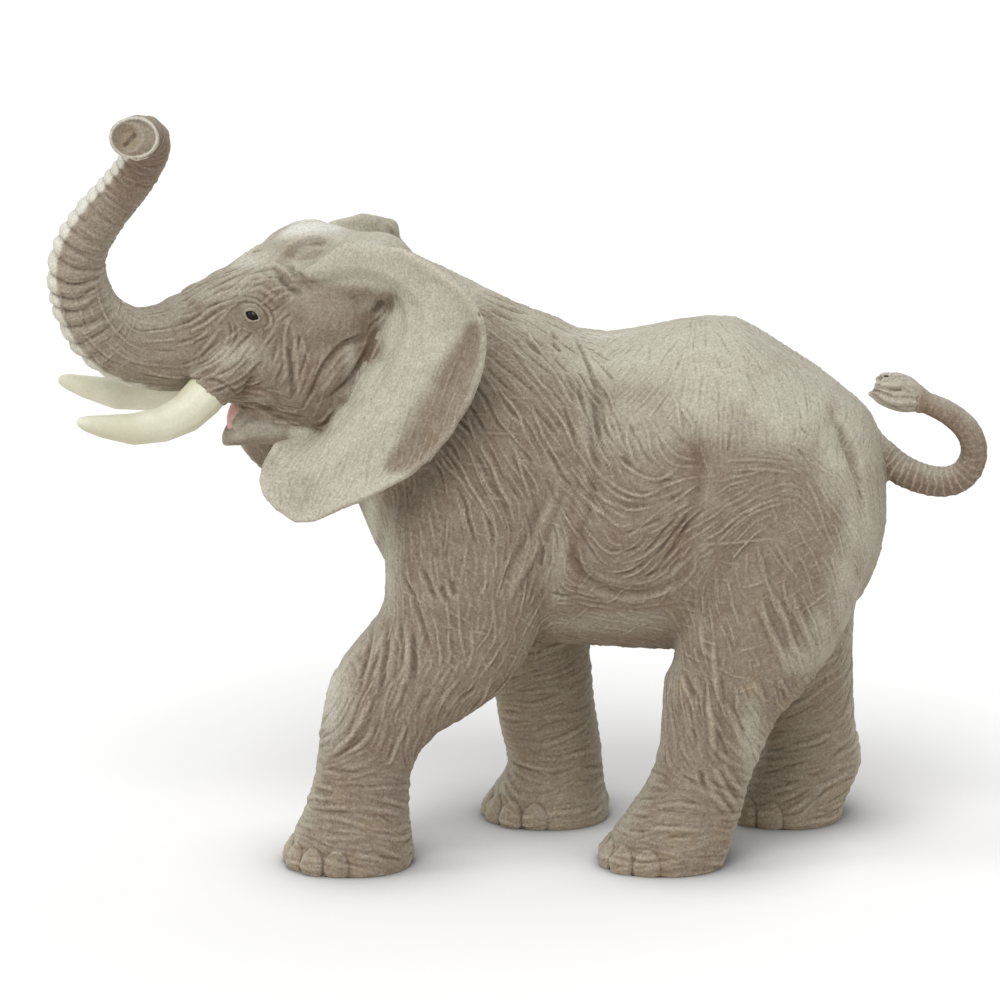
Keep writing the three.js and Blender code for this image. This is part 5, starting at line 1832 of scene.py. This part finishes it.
def make_floor_paint():
    """White to the camera, with the object's shadow and a painted contact shadow near the feet, and a warm grey for the
    light that it throws back.
    """
    paint = bpy.data.materials.new("white_floor")
    paint.use_nodes = True
    tree = paint.node_tree
    tree.nodes.clear()
    path = add_node(tree, "ShaderNodeLightPath")
    # The floor's colour darkens where it is hidden near the feet: a painted contact shadow.
    near_feet = add_node(tree, "ShaderNodeAmbientOcclusion", {"Distance": 30 * mm})
    shade = add_node(
        tree, "ShaderNodeMapRange", {"From Min": 0.45, "From Max": 0.97, "To Min": 0.3, "To Max": 0.98}
    )
    white = add_node(tree, "ShaderNodeBsdfDiffuse")
    glow = add_node(tree, "ShaderNodeEmission", {"Strength": 0.03})
    both = add_node(tree, "ShaderNodeAddShader")
    grey = add_node(tree, "ShaderNodeBsdfDiffuse", {"Color": (0.8, 0.76, 0.71, 1)})
    choose = add_node(tree, "ShaderNodeMixShader")
    out = add_node(tree, "ShaderNodeOutputMaterial")
    join(
        tree,
        (near_feet.outputs["AO"], shade.inputs["Value"]),
        (shade.outputs["Result"], white.inputs["Color"]),
        (white.outputs[0], both.inputs[0]),
        (glow.outputs[0], both.inputs[1]),
        (path.outputs["Is Camera Ray"], choose.inputs[0]),
        (grey.outputs[0], choose.inputs[1]),
        (both.outputs[0], choose.inputs[2]),
        (choose.outputs[0], out.inputs["Surface"]),
    )
    return paint


def make_studio():
    """A pale room that looks white to the camera and in what is glossy or clear."""
    world = bpy.data.worlds.new("studio")
    world.use_nodes = True
    tree = world.node_tree
    tree.nodes.clear()
    path = add_node(tree, "ShaderNodeLightPath")
    seen = add_node(tree, "ShaderNodeMath", operation="MAXIMUM")
    seen_again = add_node(tree, "ShaderNodeMath", operation="MAXIMUM")
    level = add_node(tree, "ShaderNodeMapRange", {"To Min": 0.56, "To Max": 1.0})
    studio = add_node(tree, "ShaderNodeBackground", {"Color": (1, 1, 1, 1)})
    out = add_node(tree, "ShaderNodeOutputWorld")
    join(
        tree,
        (path.outputs["Is Camera Ray"], seen.inputs[0]),
        (path.outputs["Is Glossy Ray"], seen.inputs[1]),
        (seen.outputs[0], seen_again.inputs[0]),
        (path.outputs["Is Transmission Ray"], seen_again.inputs[1]),
        (seen_again.outputs[0], level.inputs["Value"]),
        (level.outputs["Result"], studio.inputs["Strength"]),
        (studio.outputs[0], out.inputs["Surface"]),
    )
    return world


floor.data.materials.append(make_floor_paint())
bpy.context.scene.world = make_studio()


def add_sun(name, towards, power, spread):
    """A soft sun, as wide as its spread in degrees."""
    data = bpy.data.lights.new(name, "SUN")
    data.energy = power
    data.angle = math.radians(spread)
    lamp = bpy.data.objects.new(name, data)
    lamp.rotation_euler = Vector(towards).to_track_quat("Z", "Y").to_euler()
    bpy.context.scene.collection.objects.link(lamp)


add_sun("key_light", (-0.14, -0.6, 0.78), 1.35, 32)
add_sun("side_light", (-0.8, -0.15, 0.6), 0.5, 24)
add_sun("back_light", (0.5, 0.6, 0.6), 0.3, 60)
bpy.context.scene.view_settings.view_transform = "Standard"

low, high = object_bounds()
